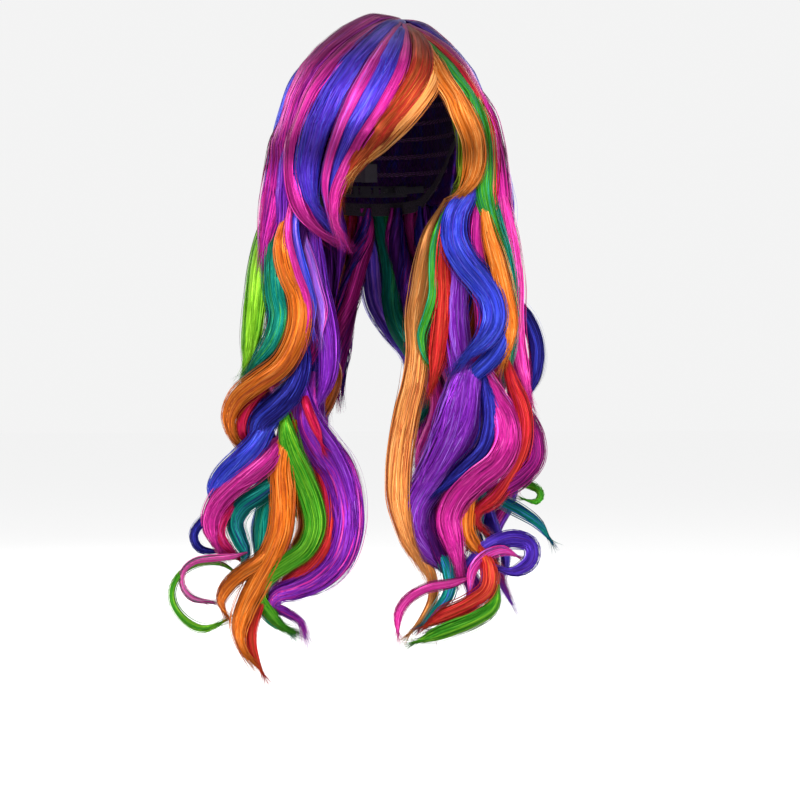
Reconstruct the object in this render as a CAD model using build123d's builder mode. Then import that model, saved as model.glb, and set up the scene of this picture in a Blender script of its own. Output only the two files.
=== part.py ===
from build123d import *
import math
import os

os.makedirs("parts", exist_ok=True)

# Long costume wig. Millimetres, +Z up, -Y is the face, +X the wearer's left.
# Origin: the inside of the cap at the crown, where the top of the head sits.

# ---- driving dimensions -------------------------------------------------
HEAD_X = 78.0            # half width of the head inside the cap
HEAD_Y = 97.0            # half length of the head inside the cap
HEAD_Z = -100.0          # height of the widest ring of the head
HEAD_UP = 100.0          # widest ring to crown
HEAD_DOWN = 175.0        # how slowly the head narrows below the widest ring

HOOK_IN, HOOK_OUT = 57.9, 59.0      # adjuster hook, radii about the nape arc
NAPE_ARC_Y = 31.3                   # centre of the nape arc
STRAP_LOW, STRAP_HIGH = -163.5, -156.5
LINING_IN, LINING_OUT = 1.5, 2.4    # bands and tapes, offsets from the head
NET_IN, NET_OUT = 3.2, 4.0          # stretch net
WEFT_IN, WEFT_OUT = 4.5, 5.5        # sewn weft tracks
HAIR_IN = 7.4                       # underside of the crown hair
HAIR_DEEP = 1.08                    # front-to-back over side-to-side of the hair
CROWN_LOW = -180.0                  # bottom of the crown hair
HAIRLINE = -64.0                    # front edge of the crown hair

# outer surface of the crown hair: (radius, height)
HAIR_PROFILE = [
    (38, 3), (54, -9), (77, -30), (92, -50), (104, -80),
    (109, -105), (118, -135), (122, -160), (125.5, -186),
]

# edge of the cap seen from the side: (y, z), everything above it is kept
CAP_KEEP = [
    (-140, 40), (-140, -60), (-88, -62), (-72, -78), (-58, -98), (-52, -106.5),
    (-10, -106.5), (-5, -113), (20, -130), (40, -160), (60, -186),
    (140, -197), (140, 40),
]
# ear tab: (y, bottom) down from EAR_TOP
EAR_TOP = -108.5
EAR_TAB = [(-47, -117), (-42, -130), (-37, -137), (-31, -141), (-25, -139.5), (-19, -132), (-13, -118)]
FACE_CUT = [
    (-170, -62), (-98, HAIRLINE), (-88, -74), (-76, -98), (-68, -128),
    (-66, -220), (-170, -220),
]
PARTING = (12.0, 0.0)    # where the sections of crown hair meet

# crown hair in sections about the parting: (name, from angle, to angle)
SECTIONS = [
    ("crown_orange_and_green_left", -79.6, -38),
    ("crown_magenta_left", -38, 24),
    ("crown_blue_back", 24, 66),
    ("crown_purple_back", 66, 104),
    ("crown_orange_back", 104, 142),
    ("crown_teal_back", 142, 176),
    ("crown_magenta_right", 176, 222),
    ("crown_blue_right", 222, 254),
    ("crown_red_right", 254, 280.4),
]

# Locks: groups of swept solids, each (half thickness, [(x, y, z, half width)...])
FRINGE = {
    "fringe_violet_lock": [
        (4.5, [(-55.4, -88.4, -80.5, 5.1), (-66.9, -84.4, -103.4, 6.1), (-75.5, -75.4, -127.6, 6.1), (-80.6, -69.3, -152.2, 5.6), (-80.6, -69.3, -178.5, 5.1), (-73.8, -77.3, -202.3, 3.6)]),
    ],
    "fringe_blue_lock": [
        (4.5, [(-34.8, -97.9, -76.2, 5.1), (-48.9, -97.5, -100.6, 6.1), (-61.5, -88.6, -125.8, 6.1), (-69.5, -81.8, -149.3, 4.6), (-72.1, -79.2, -167.2, 2.5)]),
    ],
    "fringe_magenta_lock": [
        (4.5, [(-16.5, -108.4, -77.2, 5.1), (-29.1, -110.4, -97.8, 6.6), (-43.3, -105.3, -119.4, 6.6), (-55.3, -98.7, -142.9, 6.6), (-63.3, -92.9, -168.4, 6.6), (-65.1, -91.5, -198.3, 6.1), (-58.9, -96.4, -224.6, 3.1)]),
    ],
    "fringe_red_lock": [
        (4.5, [(4.7, -104.8, -76.0, 6.1), (-11.7, -110.0, -99.2, 6.6), (-27.4, -107.1, -121.2, 6.6), (-40.6, -101.8, -140.9, 4.6)]),
    ],
    "fringe_orange_lock": [
        (4.5, [(28.3, -100.6, -76.7, 6.1), (9.6, -110.4, -98.7, 6.6), (-8.8, -110.6, -119.2, 6.1), (-24.5, -107.8, -137.2, 4.1)]),
    ],
}
CURTAINS = {
    "right_teal_locks": [
        (6.0, [(-129.4, -19.5, -207.6, 5.1), (-137.4, -17.8, -246.6, 7.2), (-140.4, -17.2, -285.7, 7.2), (-142.4, -16.8, -332.0, 5.1)]),
        (8.0, [(-120.7, -37.7, -198.7, 8.2), (-120.7, -37.7, -235.4, 9.2), (-115.7, -38.8, -281.4, 10.2), (-122.7, -37.3, -322.2, 9.2), (-138.4, -31.9, -347.6, 6.1)]),
        (7.0, [(-130.1, -31.6, -490.7, 7.2), (-142.1, -29.1, -511.2, 8.2), (-142.1, -29.1, -536.7, 7.2)]),
    ],
    "right_orange_wave": [
        (8.0, [(-104.7, -41.1, -198.7, 4.1), (-106.7, -40.7, -235.4, 4.1), (-96.7, -42.8, -274.2, 5.6), (-92.7, -43.7, -304.8, 7.1), (-104.7, -41.1, -339.5, 7.7), (-130.7, -35.6, -367.1, 8.2), (-154.6, -30.5, -385.4, 7.7), (-164.3, -26.4, -406.9, 6.1), (-160.1, -25.3, -427.3, 4.6)]),
    ],
    "right_purple_locks": [
        (8.0, [(-88.6, -37.4, -198.1, 6.1), (-86.6, -37.8, -234.9, 7.2), (-77.6, -39.7, -275.9, 8.2), (-70.6, -41.2, -316.8, 8.2), (-69.6, -41.4, -352.7, 8.2), (-78.6, -39.5, -378.3, 6.1)]),
        (9.0, [(-82.8, -45.8, -396.7, 6.1), (-75.8, -47.3, -419.1, 9.2), (-62.8, -50.0, -447.7, 11.2), (-49.8, -52.8, -478.3, 11.2), (-43.8, -54.1, -513.0, 11.2), (-49.8, -52.8, -547.7, 11.2), (-72.8, -47.9, -572.2, 10.2), (-100.4, -40.0, -584.6, 7.1)]),
    ],
    "right_navy_lock": [
        (8.0, [(-110.4, -37.9, -388.5, 8.2), (-127.4, -34.3, -408.9, 9.2), (-138.4, -31.9, -432.4, 9.2), (-158.3, -27.7, -452.8, 8.7), (-174.3, -24.3, -474.3, 7.1), (-181.1, -20.8, -493.8, 4.1)]),
    ],
    "right_magenta_lock": [
        (8.0, [(-112.1, -35.5, -431.4, 6.1), (-126.1, -32.5, -450.9, 8.2), (-147.1, -28.0, -472.3, 8.7), (-164.1, -24.4, -492.8, 8.7), (-176.1, -21.9, -515.3, 8.7), (-174.8, -20.1, -537.9, 7.2)]),
    ],
    "right_green_locks": [
        (8.0, [(-98.7, -42.4, -402.8, 4.6), (-95.7, -43.0, -434.4, 6.1), (-87.7, -44.7, -470.1, 7.1), (-79.8, -46.4, -498.7, 7.7), (-80.8, -46.2, -525.2, 7.7), (-91.7, -43.9, -545.6, 7.1), (-106.4, -38.7, -558.0, 5.1)]),
        (7.0, [(-119.1, -34.0, -588.9, 5.1), (-114.1, -35.0, -605.2, 7.2), (-98.1, -38.4, -623.6, 5.6)]),
    ],
    "right_red_lock": [
        (6.0, [(-87.1, -22.4, -419.4, 7.2), (-69.0, -26.2, -471.0, 8.2), (-60.9, -27.9, -512.2, 9.3), (-65.0, -27.1, -541.1, 9.3), (-87.1, -22.4, -565.8, 7.2)]),
    ],
    "right_orange_drop": [
        (8.0, [(-110.4, -37.9, -462.0, 6.1), (-109.4, -38.1, -490.6, 8.2), (-112.4, -37.5, -521.3, 8.2), (-126.4, -34.5, -549.9, 8.2), (-140.4, -31.5, -582.6, 8.2), (-151.4, -29.2, -615.2, 8.2), (-150.4, -29.4, -643.8, 6.1), (-138.4, -31.9, -666.3, 3.1)]),
    ],
    "right_loose_curl": [
        (4.0, [(-157.3, -19.7, -558.7, 4.1), (-185.4, -13.8, -552.5, 4.1), (-206.4, -9.3, -564.8, 4.1), (-215.5, -7.4, -590.5, 4.1), (-206.4, -9.3, -612.0, 4.1), (-185.4, -13.8, -622.2, 5.1), (-165.3, -18.0, -614.0, 5.1)]),
    ],
    "right_under_locks": [
        (9.0, [(-111.5, 9.4, -194.4, 12.5), (-115.6, 10.3, -242.4, 14.6), (-105.4, 8.1, -294.6, 14.6), (-111.5, 9.4, -346.8, 14.6), (-129.9, 13.3, -398.9, 14.6), (-125.8, 12.4, -451.1, 14.6), (-107.4, 8.5, -503.3, 14.6), (-111.5, 9.4, -555.4, 12.5), (-125.8, 12.4, -597.2, 7.3)]),
        (9.0, [(-79.8, 2.7, -194.4, 10.4), (-77.8, 2.2, -242.4, 12.5), (-68.6, 0.3, -294.6, 12.5), (-73.7, 1.4, -346.8, 12.5), (-87.0, 4.2, -398.9, 12.5), (-74.7, 1.6, -451.1, 12.5), (-62.5, -1.0, -503.3, 12.5), (-72.7, 1.1, -555.4, 7.3)]),
    ],
    "right_back_locks": [
        (9.0, [(-103.1, 36.2, -192.0, 13.7), (-107.3, 37.1, -240.6, 15.9), (-96.9, 34.9, -293.4, 15.9), (-101.1, 35.8, -346.2, 15.9), (-111.4, 38.0, -399.1, 15.9), (-103.1, 36.2, -451.9, 15.9), (-86.6, 32.7, -504.7, 14.8), (-92.8, 34.0, -557.6, 11.6), (-107.3, 37.1, -599.8, 6.3)]),
        (9.0, [(-78.0, 59.5, -198.0, 13.9), (-78.0, 59.5, -238.7, 16.1), (-69.6, 57.7, -292.2, 16.1), (-78.0, 59.5, -345.7, 16.1), (-88.4, 61.7, -399.2, 16.1), (-78.0, 59.5, -452.7, 15.0), (-71.7, 58.2, -506.2, 12.8), (-82.1, 60.4, -549.0, 6.4)]),
    ],
    "right_nape_locks": [
        (8.0, [(-34.9, 81.0, -208.5, 14.1), (-41.3, 82.4, -242.1, 15.2), (-52.3, 82.7, -285.6, 15.2), (-61.1, 82.5, -334.4, 15.2), (-63.5, 81.0, -388.5, 14.1), (-57.2, 79.6, -437.2, 8.7)]),
        (8.0, [(2.2, 95.6, -208.9, 12.0), (-8.5, 97.9, -240.7, 12.0), (-20.7, 98.5, -284.6, 13.1), (-27.5, 97.8, -333.9, 12.0), (-27.5, 97.8, -383.0, 6.6)]),
    ],
    "left_blue_locks": [
        (7.0, [(74.0, -83.2, -197.0, 6.1), (63.0, -80.9, -215.4, 8.1), (61.0, -80.4, -235.7, 8.1), (72.0, -82.8, -256.1, 9.2), (87.9, -86.2, -278.5, 9.2), (96.9, -88.1, -305.0, 9.2), (89.9, -86.6, -331.5, 9.2), (73.0, -83.0, -350.8, 6.1)]),
        (7.0, [(94.4, -81.4, -390.5, 6.1), (96.4, -81.8, -419.1, 6.6), (88.4, -80.1, -441.6, 6.6), (71.4, -76.5, -463.1, 6.1), (57.4, -73.6, -481.4, 4.6)]),
        (6.0, [(137.1, -29.1, -296.1, 4.2), (148.4, -31.5, -306.6, 5.8), (157.7, -33.5, -330.8, 6.8), (156.6, -33.3, -359.1, 6.8), (149.4, -31.8, -380.1, 5.2)]),
    ],
    "left_orange_inner_lock": [
        (7.0, [(35.0, -38.1, -233.1, 4.1), (31.6, -39.4, -274.7, 6.2), (27.7, -42.7, -316.2, 7.2), (24.4, -48.1, -357.6, 8.2), (13.8, -58.1, -398.7, 9.2), (5.7, -66.6, -439.5, 9.2), (0.6, -75.8, -479.8, 8.6), (2.3, -82.3, -509.9, 8.1), (12.2, -84.4, -542.3, 7.1), (24.1, -86.9, -564.6, 5.1)]),
    ],
    "left_green_locks": [
        (5.0, [(46.0, -50.7, -233.9, 3.6), (47.0, -50.9, -269.9, 4.1), (43.5, -52.2, -301.0, 4.6), (41.5, -51.8, -331.9, 4.1)]),
        (6.0, [(97.4, -82.0, -599.9, 4.1), (80.4, -78.4, -613.2, 6.1), (58.4, -73.8, -624.4, 6.1), (35.5, -68.9, -634.6, 4.6)]),
    ],
    "left_red_locks": [
        (6.0, [(55.7, -58.9, -224.0, 5.1), (56.7, -59.1, -270.3, 5.7), (56.7, -59.1, -306.3, 6.7), (52.7, -58.2, -337.1, 6.7), (46.6, -56.9, -370.0, 5.1)]),
        (6.0, [(129.3, -54.1, -390.6, 3.6), (135.9, -53.4, -419.7, 4.7), (136.4, -51.5, -445.7, 5.2), (120.2, -48.0, -473.7, 5.2), (101.9, -44.1, -491.4, 5.2), (93.7, -42.4, -508.0, 5.2), (99.8, -43.7, -525.7, 4.2)]),
        (6.0, [(97.4, -82.0, -568.3, 5.1), (91.4, -80.8, -584.6, 6.1), (71.4, -76.5, -596.9, 6.1), (45.5, -71.0, -610.1, 5.1)]),
    ],
    "left_violet_locks": [
        (6.0, [(74.8, -62.9, -215.8, 5.1), (72.8, -62.5, -249.7, 6.2), (72.8, -62.5, -285.7, 7.2), (72.8, -62.5, -316.5, 7.7), (69.7, -61.9, -352.5, 7.7), (64.7, -60.8, -380.3, 6.2)]),
        (5.0, [(83.9, -77.1, -558.2, 4.1), (95.9, -79.7, -540.8, 4.6), (116.9, -84.1, -532.6, 5.1), (136.4, -86.3, -538.9, 5.1), (137.5, -82.4, -553.6, 5.1), (122.0, -77.0, -564.0, 5.1), (105.4, -71.5, -562.1, 3.6)]),
    ],
    "left_purple_lock": [
        (9.0, [(67.4, -75.7, -392.6, 11.2), (68.4, -75.9, -419.1, 15.3), (56.5, -73.3, -444.7, 14.3), (41.5, -70.2, -470.2, 11.7), (29.5, -67.6, -495.7, 9.7), (24.5, -66.5, -521.3, 9.2), (33.5, -68.5, -543.7, 8.7), (48.5, -71.6, -560.1, 6.1)]),
    ],
    "left_magenta_locks": [
        (8.0, [(109.4, -84.6, -388.5, 6.1), (113.4, -85.4, -419.1, 8.2), (110.4, -84.8, -444.7, 9.7), (91.4, -80.8, -469.2, 9.7), (72.4, -76.7, -488.6, 9.7), (59.4, -74.0, -511.1, 9.7), (61.4, -74.4, -536.6, 8.7), (67.4, -75.7, -564.2, 6.1)]),
        (6.0, [(88.9, -65.9, -209.6, 4.6), (89.9, -66.1, -246.6, 5.7), (92.9, -66.8, -285.7, 6.7), (91.9, -66.6, -321.7, 6.7), (87.9, -65.7, -351.5, 5.1)]),
    ],
    "left_orange_outer_lock": [
        (6.0, [(93.4, -81.2, -200.6, 4.6), (98.4, -82.3, -230.2, 6.6), (107.4, -84.2, -257.8, 8.7), (114.9, -83.7, -286.3, 8.7), (118.4, -82.4, -316.9, 5.1)]),
    ],
    "left_teal_locks": [
        (6.0, [(110.5, -64.4, -215.3, 4.6), (115.5, -65.5, -242.1, 5.7), (117.1, -63.7, -285.3, 6.7), (116.1, -63.5, -331.7, 6.7), (119.1, -64.2, -359.6, 5.2)]),
        (6.0, [(119.1, -64.2, -491.7, 5.2), (135.2, -67.6, -503.0, 5.7), (151.4, -71.0, -516.5, 5.2), (160.5, -73.0, -531.9, 3.1)]),
    ],
    "left_pink_locks": [
        (7.0, [(123.2, -44.6, -194.8, 5.7), (129.3, -45.9, -232.3, 6.8), (131.4, -46.3, -284.4, 7.3), (133.9, -48.9, -331.3, 7.3), (139.4, -60.3, -373.0, 7.8), (144.7, -75.7, -414.2, 8.2), (146.1, -82.2, -441.9, 8.2), (135.2, -71.7, -464.7, 8.2), (115.5, -65.5, -481.3, 6.2)]),
        (4.0, [(57.4, -73.6, -578.5, 3.6), (33.5, -68.5, -582.6, 4.1), (13.5, -64.2, -594.8, 4.1), (3.5, -62.1, -611.2, 4.1), (5.5, -62.5, -629.5, 3.1)]),
    ],
    "left_under_locks": [
        (9.0, [(84.5, -32.3, -194.4, 11.5), (80.4, -31.4, -242.4, 13.6), (88.5, -33.1, -294.6, 13.6), (80.4, -31.4, -346.8, 13.6), (67.7, -30.7, -398.9, 13.6), (61.1, -31.4, -451.0, 13.5), (54.5, -32.0, -502.9, 12.5), (62.2, -35.7, -546.5, 7.3)]),
        (9.0, [(116.0, -14.4, -196.5, 11.6), (111.9, -13.6, -242.9, 13.7), (116.0, -14.4, -293.6, 13.7), (112.4, -15.7, -346.3, 13.7), (109.8, -17.2, -399.0, 13.7), (108.9, -21.1, -451.6, 13.7), (97.6, -22.8, -498.6, 11.5), (88.4, -24.9, -540.3, 6.3)]),
    ],
    "left_back_locks": [
        (9.0, [(108.5, 11.7, -190.2, 12.8), (104.3, 12.6, -239.2, 14.9), (112.6, 10.8, -292.5, 14.9), (104.3, 12.6, -345.9, 14.9), (93.4, 12.9, -399.2, 14.9), (88.8, 11.8, -452.4, 13.8), (84.1, 10.7, -505.5, 7.4)]),
        (9.0, [(87.5, 38.6, -203.3, 12.9), (84.4, 39.3, -239.9, 15.1), (90.7, 38.0, -291.6, 15.1), (82.3, 39.8, -345.4, 15.1), (71.3, 40.1, -399.3, 14.0), (66.6, 39.0, -447.6, 12.9), (68.3, 36.6, -490.5, 6.4)]),
    ],
    "left_nape_locks": [
        (8.0, [(59.3, 65.1, -208.2, 13.0), (65.7, 63.7, -241.9, 14.1), (76.3, 61.5, -285.3, 14.1), (82.7, 60.1, -334.2, 14.1), (82.2, 58.2, -388.5, 13.0), (75.8, 59.5, -431.9, 7.6)]),
        (8.0, [(27.8, 73.8, -210.2, 12.0), (37.4, 71.8, -241.7, 12.0), (47.8, 68.6, -285.3, 12.0), (54.0, 66.2, -334.2, 10.9), (56.1, 65.8, -379.8, 6.5)]),
    ],
}


CENTRE = Vector(0, 0, HEAD_Z)


def head_point(ray, offset):
    """Where a ray from the head's centre meets the head grown by offset."""
    up = HEAD_UP + offset if ray.Z > 0 else HEAD_DOWN
    t = 1 / math.sqrt((ray.X / (HEAD_X + offset)) ** 2 + (ray.Y / (HEAD_Y + offset)) ** 2
                      + (ray.Z / up) ** 2)
    return CENTRE + ray * t


def hair_radius(z):
    rows = [(0, 12), (20, 9.5), *HAIR_PROFILE]
    for (r0, z0), (r1, z1) in zip(rows, rows[1:]):
        if z1 <= z <= z0:
            return r0 + (r1 - r0) * (z0 - z) / (z0 - z1)
    return 0.0 if z > 12 else rows[-1][0]


def hair_point(ray, _=0):
    """Where the ray leaves the outside of the crown hair."""
    near, far = 60.0, 240.0
    for _ in range(40):
        t = (near + far) / 2
        p = CENTRE + ray * t
        if math.hypot(p.X, p.Y / HAIR_DEEP) > hair_radius(p.Z):
            far = t
        else:
            near = t
    return CENTRE + ray * near


def polar(phi, theta):
    phi, theta = math.radians(phi), math.radians(theta)
    return Vector(math.cos(phi) * math.sin(theta), math.sin(phi) * math.sin(theta), math.cos(theta))


def inside(outline, y, z):
    hit = False
    for (y0, z0), (y1, z1) in zip(outline, outline[1:] + outline[:1]):
        if (z0 > z) != (z1 > z) and y < y0 + (y1 - y0) * (z - z0) / (z1 - z0):
            hit = not hit
    return hit


def edge_angle(phi, outline, offset=NET_IN):
    """How far down from the crown the cap reaches at one bearing, in degrees."""
    theta = 10.0
    while theta < 140:
        p = head_point(polar(phi, theta), offset)
        if not inside(outline, p.Y, p.Z):
            break
        theta += 0.25
    return theta


def on_side(y, z, side):
    """A ray to the point of the head at (y, z) on one side."""
    down = HEAD_DOWN if z < HEAD_Z else HEAD_UP
    x = HEAD_X * math.sqrt(max(0.0, 1 - (y / HEAD_Y) ** 2 - ((z - HEAD_Z) / down) ** 2))
    return (Vector(side * x, y, z) - CENTRE).normalized()


def on_ring(phi, z):
    down = HEAD_DOWN if z < HEAD_Z else HEAD_UP
    k = math.sqrt(1 - ((z - HEAD_Z) / down) ** 2)
    c, s = math.cos(math.radians(phi)), math.sin(math.radians(phi))
    t = 1 / math.hypot(c / HEAD_X, s / HEAD_Y)
    return (Vector(c * t * k, s * t * k, z) - CENTRE).normalized()


def at_back(x, z):
    down = HEAD_DOWN if z < HEAD_Z else HEAD_UP
    y = HEAD_Y * math.sqrt(1 - (x / HEAD_X) ** 2 - ((z - HEAD_Z) / down) ** 2)
    return (Vector(x, y, z) - CENTRE).normalized()


def on_top(x, y):
    z = HEAD_UP * math.sqrt(1 - (x / HEAD_X) ** 2 - (y / HEAD_Y) ** 2)
    return Vector(x, y, z).normalized()


def panel(rays, inner, outer, around=False, under=head_point, over=head_point):
    """A compound-curved panel: rows of rays, thickness from inner to outer.

    around closes each row on itself; a first row of one ray is the crown."""
    low = [[under(r, inner) for r in row] for row in rays]
    top = [[over(r, outer) for r in row] for row in rays]
    faces = []

    def tri(*corners):
        if all((a - b).length > 1e-6 for a, b in zip(corners, corners[1:] + corners[:1])):
            faces.append(Face(Wire.make_polygon(corners, close=True)))

    def quad(a, b, c, d):
        tri(a, b, c)
        tri(a, c, d)

    count = max(len(row) for row in rays)
    steps = range(count if around else count - 1)
    for grid in (low, top):
        for upper, lower in zip(grid, grid[1:]):
            for j in steps:
                k = (j + 1) % count
                if len(upper) == 1:
                    tri(upper[0], lower[j], lower[k])
                else:
                    quad(upper[j], lower[j], lower[k], upper[k])
    for end in (0, -1):
        if len(rays[end]) > 1:
            for j in steps:
                k = (j + 1) % count
                quad(low[end][j], top[end][j], top[end][k], low[end][k])
    if not around:
        for j in (0, -1):
            for i in range(len(rays) - 1):
                quad(low[i][j], top[i][j], top[i + 1][j], low[i + 1][j])
    return Solid(Shell(faces))


def spread(a, b, n):
    return [a + (b - a) * i / n for i in range(n + 1)]


def lock_solid(half_thickness, stations):
    """One lock: oval sections strung along its path and lofted."""
    depth = Vector(math.sin(math.radians(12)), math.cos(math.radians(12)), 0)
    points = [Vector(*s[:3]) for s in stations]
    with BuildPart() as lock:
        for i, (_, _, _, half_width) in enumerate(stations):
            run = points[min(i + 1, len(points) - 1)] - points[max(i - 1, 0)]
            run = run.normalized()
            across = run.cross(depth).normalized()
            with BuildSketch(Plane(origin=points[i], x_dir=across, z_dir=run)):
                Ellipse(half_width, half_thickness)
        loft(ruled=True)
    return lock.part


def save(part, name):
    part.label = name
    export_step(part, f"parts/{name}.step")


# ---- the cap ------------------------------------------------------------
with BuildPart() as stretch_net_cap:
    bearings = spread(-90, 270, 45)[:-1]
    reach = [edge_angle(phi, CAP_KEEP) for phi in bearings]
    rows = [[polar(0, 0)]]
    for f in spread(0.0625, 1, 15):
        rows.append([polar(phi, f * t) for phi, t in zip(bearings, reach)])
    add(panel(rows, NET_IN, NET_OUT, around=True))
stretch_net_cap.part.label = "stretch_net_cap"
export_step(stretch_net_cap.part, "parts/stretch_net_cap.step")


def edge_band(from_bearing, to_bearing, columns, wide):
    bearings = spread(from_bearing, to_bearing, columns)
    reach = [edge_angle(phi, CAP_KEEP) - 0.4 for phi in bearings]
    return panel([[polar(phi, t - f * wide) for phi, t in zip(bearings, reach)]
                  for f in (1, 0.5, 0)], LINING_IN, LINING_OUT)


with BuildPart() as front_lining_band:
    add(edge_band(-172.5, -7.5, 26, 8))
front_lining_band.part.label = "front_lining_band"
export_step(front_lining_band.part, "parts/front_lining_band.step")

with BuildPart() as nape_band:
    add(edge_band(-4.5, 184.5, 30, 6))
nape_band.part.label = "nape_band"
export_step(nape_band.part, "parts/nape_band.step")

# elastic from the front band over the crown to the nape
with BuildPart() as centre_elastic:
    front = -(edge_angle(-90, CAP_KEEP) - 9.2)
    back = math.degrees(math.acos(at_back(0, -149.5).Z))
    middle = [head_point(polar(90, t), 0) - CENTRE for t in spread(front, back, 16)]
    add(panel([[(p + Vector(x, 0, 0)).normalized() for p in middle] for x in (-9, 0, 9)],
              LINING_IN, LINING_OUT))
centre_elastic.part.label = "centre_elastic"
export_step(centre_elastic.part, "parts/centre_elastic.step")

# elastics from the centre one down to each ear
for side, word in ((-1, "right"), (1, "left")):
    with BuildPart() as side_elastic:
        middle = [head_point(polar(0, t), 0) - CENTRE for t in spread(6.4, 92, 9)]
        add(panel([[Vector(side * p.X, y, p.Z).normalized() for p in middle] for y in (1, 8, 15)],
                  LINING_IN, LINING_OUT))
    save(side_elastic.part, f"{word}_elastic")

# skin-coloured strip under the parting
with BuildPart() as parting_strip:
    heading = Vector(13, -83, 0).normalized()
    across = Vector(heading.Y, -heading.X, 0)
    spots = [[Vector(11, 8, 0) + heading * s + across * w for s in spread(0, 90, 9)]
             for w in (-9, 0, 9)]
    add(panel([[on_top(p.X, p.Y) for p in row] for row in spots], WEFT_IN, WEFT_OUT))
parting_strip.part.label = "parting_strip"
export_step(parting_strip.part, "parts/parting_strip.step")


# ---- weft tracks: rows of sewn hair roots round the cap ------------------
def weft_row(z, tall=4.0):
    if z > -56:
        bearings = spread(-46, 272, 30)
    else:
        start = -90.0
        while not all(inside(CAP_KEEP, head_point(on_ring(start, z + d), 4).Y, z + d)
                      for d in (-2.5, 2.5)):
            start += 1
        bearings = spread(start + 1, 179 - start, 28)
    return panel([[on_ring(phi, z + d) for phi in bearings] for d in (tall / 2, -tall / 2)],
                 WEFT_IN, WEFT_OUT)


for wefts, rows in (
    ("weft_rows_upper", (-16, -30, -46)),
    ("weft_rows_middle", (-72, -88, -104)),
    ("weft_rows_lower", (-122, -140, -158, -174)),
):
    with BuildPart() as tracks:
        for z in rows:
            add(weft_row(z))
    save(tracks.part, wefts)

# ---- nape adjusters ------------------------------------------------------
with BuildPart() as nape_loop_tape:
    add(panel([[at_back(x, z) for x in spread(-42, 42, 14)] for z in (-154, -160, -166)],
              LINING_IN, LINING_OUT))
    for k in range(5):
        for side in (-1, 1):
            angle = math.radians(side * (5 + 6 * k))
            with BuildSketch(Plane(origin=(60 * math.sin(angle), NAPE_ARC_Y + 40 * math.cos(angle), -160),
                                   x_dir=(math.cos(angle), -math.sin(angle), 0),
                                   z_dir=(math.sin(angle), math.cos(angle), 0))):
                Rectangle(2.2, 7.5)
            extrude(amount=60, mode=Mode.SUBTRACT)
nape_loop_tape.part.label = "nape_loop_tape"
export_step(nape_loop_tape.part, "parts/nape_loop_tape.step")


def nape_arc(r_in, r_out, a_from, a_to, low, high):
    """A curved plate about the nape arc, angles from straight back, + to the wearer's left."""
    with BuildPart() as plate:
        with BuildSketch(Plane.XY.offset(low)):
            with Locations((0, NAPE_ARC_Y)):
                Circle(r_out)
                Circle(r_in, mode=Mode.SUBTRACT)
            with BuildLine():
                spots = [(0, NAPE_ARC_Y)] + [
                    (200 * math.sin(math.radians(a)), NAPE_ARC_Y + 200 * math.cos(math.radians(a)))
                    for a in (a_from, (a_from + a_to) / 2, a_to)
                ]
                Polyline(*spots, close=True)
            make_face(mode=Mode.INTERSECT)
        extrude(amount=high - low)
    return plate.part


for side, word in ((-1, "right"), (1, "left")):
    ends = sorted((side * 20, side * 31))
    nose = sorted((side * 18.8, side * 20.1))
    curl = sorted((side * 19, side * 23))
    slot = sorted((side * 28.2, side * 29.6))
    with BuildPart() as adjuster_hook:
        add(nape_arc(HOOK_IN, HOOK_OUT, *ends, STRAP_LOW, STRAP_HIGH))
        add(nape_arc(HOOK_IN - 1.9, HOOK_OUT, *nose, STRAP_LOW + 1.5, STRAP_HIGH - 1.5))
        add(nape_arc(HOOK_IN - 1.9, HOOK_IN - 0.9, *curl, STRAP_LOW + 1.5, STRAP_HIGH - 1.5))
        add(nape_arc(HOOK_IN - 1, HOOK_OUT + 1, *slot, STRAP_LOW + 1.2, STRAP_HIGH - 1.2),
            mode=Mode.SUBTRACT)
    save(adjuster_hook.part, f"{word}_adjuster_hook")
    with BuildPart() as adjuster_strap:
        add(panel([[at_back(side * x, z) for x in spread(32, 57, 6)] for z in (STRAP_HIGH, STRAP_LOW)],
                  0.2, 1.1))
    save(adjuster_strap.part, f"{word}_adjuster_strap")

# blank care label sewn under the centre elastic
with BuildPart() as care_label:
    add(panel([[at_back(x, z) for x in (-13, 0, 13)] for z in (-130, -140, -150)], 0.3, 0.9))
care_label.part.label = "care_label"
export_step(care_label.part, "parts/care_label.step")

# ---- ear tabs and the stays that stiffen them ----------------------------
for side, word in ((-1, "right"), (1, "left")):
    with BuildPart() as ear_tab:
        add(panel([[on_side(y, EAR_TOP + (low - EAR_TOP) * f, side) for y, low in EAR_TAB]
                   for f in (0, 0.33, 0.67, 1)], LINING_IN, NET_OUT))
    save(ear_tab.part, f"{word}_ear_tab")
    with BuildPart() as stay:
        add(panel([[on_side(y, z, side) for y in (-34, -28)] for z in spread(-113, -136, 3)], 0.3, 1.1))
    save(stay.part, f"{word}_ear_tab_stay")

# ---- crown hair ------------------------------------------------------------
POLE = (Vector(*PARTING, 5) - CENTRE).normalized()
EAST = (Vector(1, 0, 0) - POLE * POLE.X).normalized()
NORTH = POLE.cross(EAST)


def crown_ray(a, theta):
    a, theta = math.radians(a), math.radians(theta)
    return POLE * math.cos(theta) + (EAST * math.cos(a) + NORTH * math.sin(a)) * math.sin(theta)


def crown_reach(a, point, offset=0):
    theta = 5.0
    while theta < 150:
        p = point(crown_ray(a, theta), offset)
        if p.Z < CROWN_LOW or inside(FACE_CUT, p.Y, p.Z):
            break
        theta += 0.25
    return theta


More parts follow.
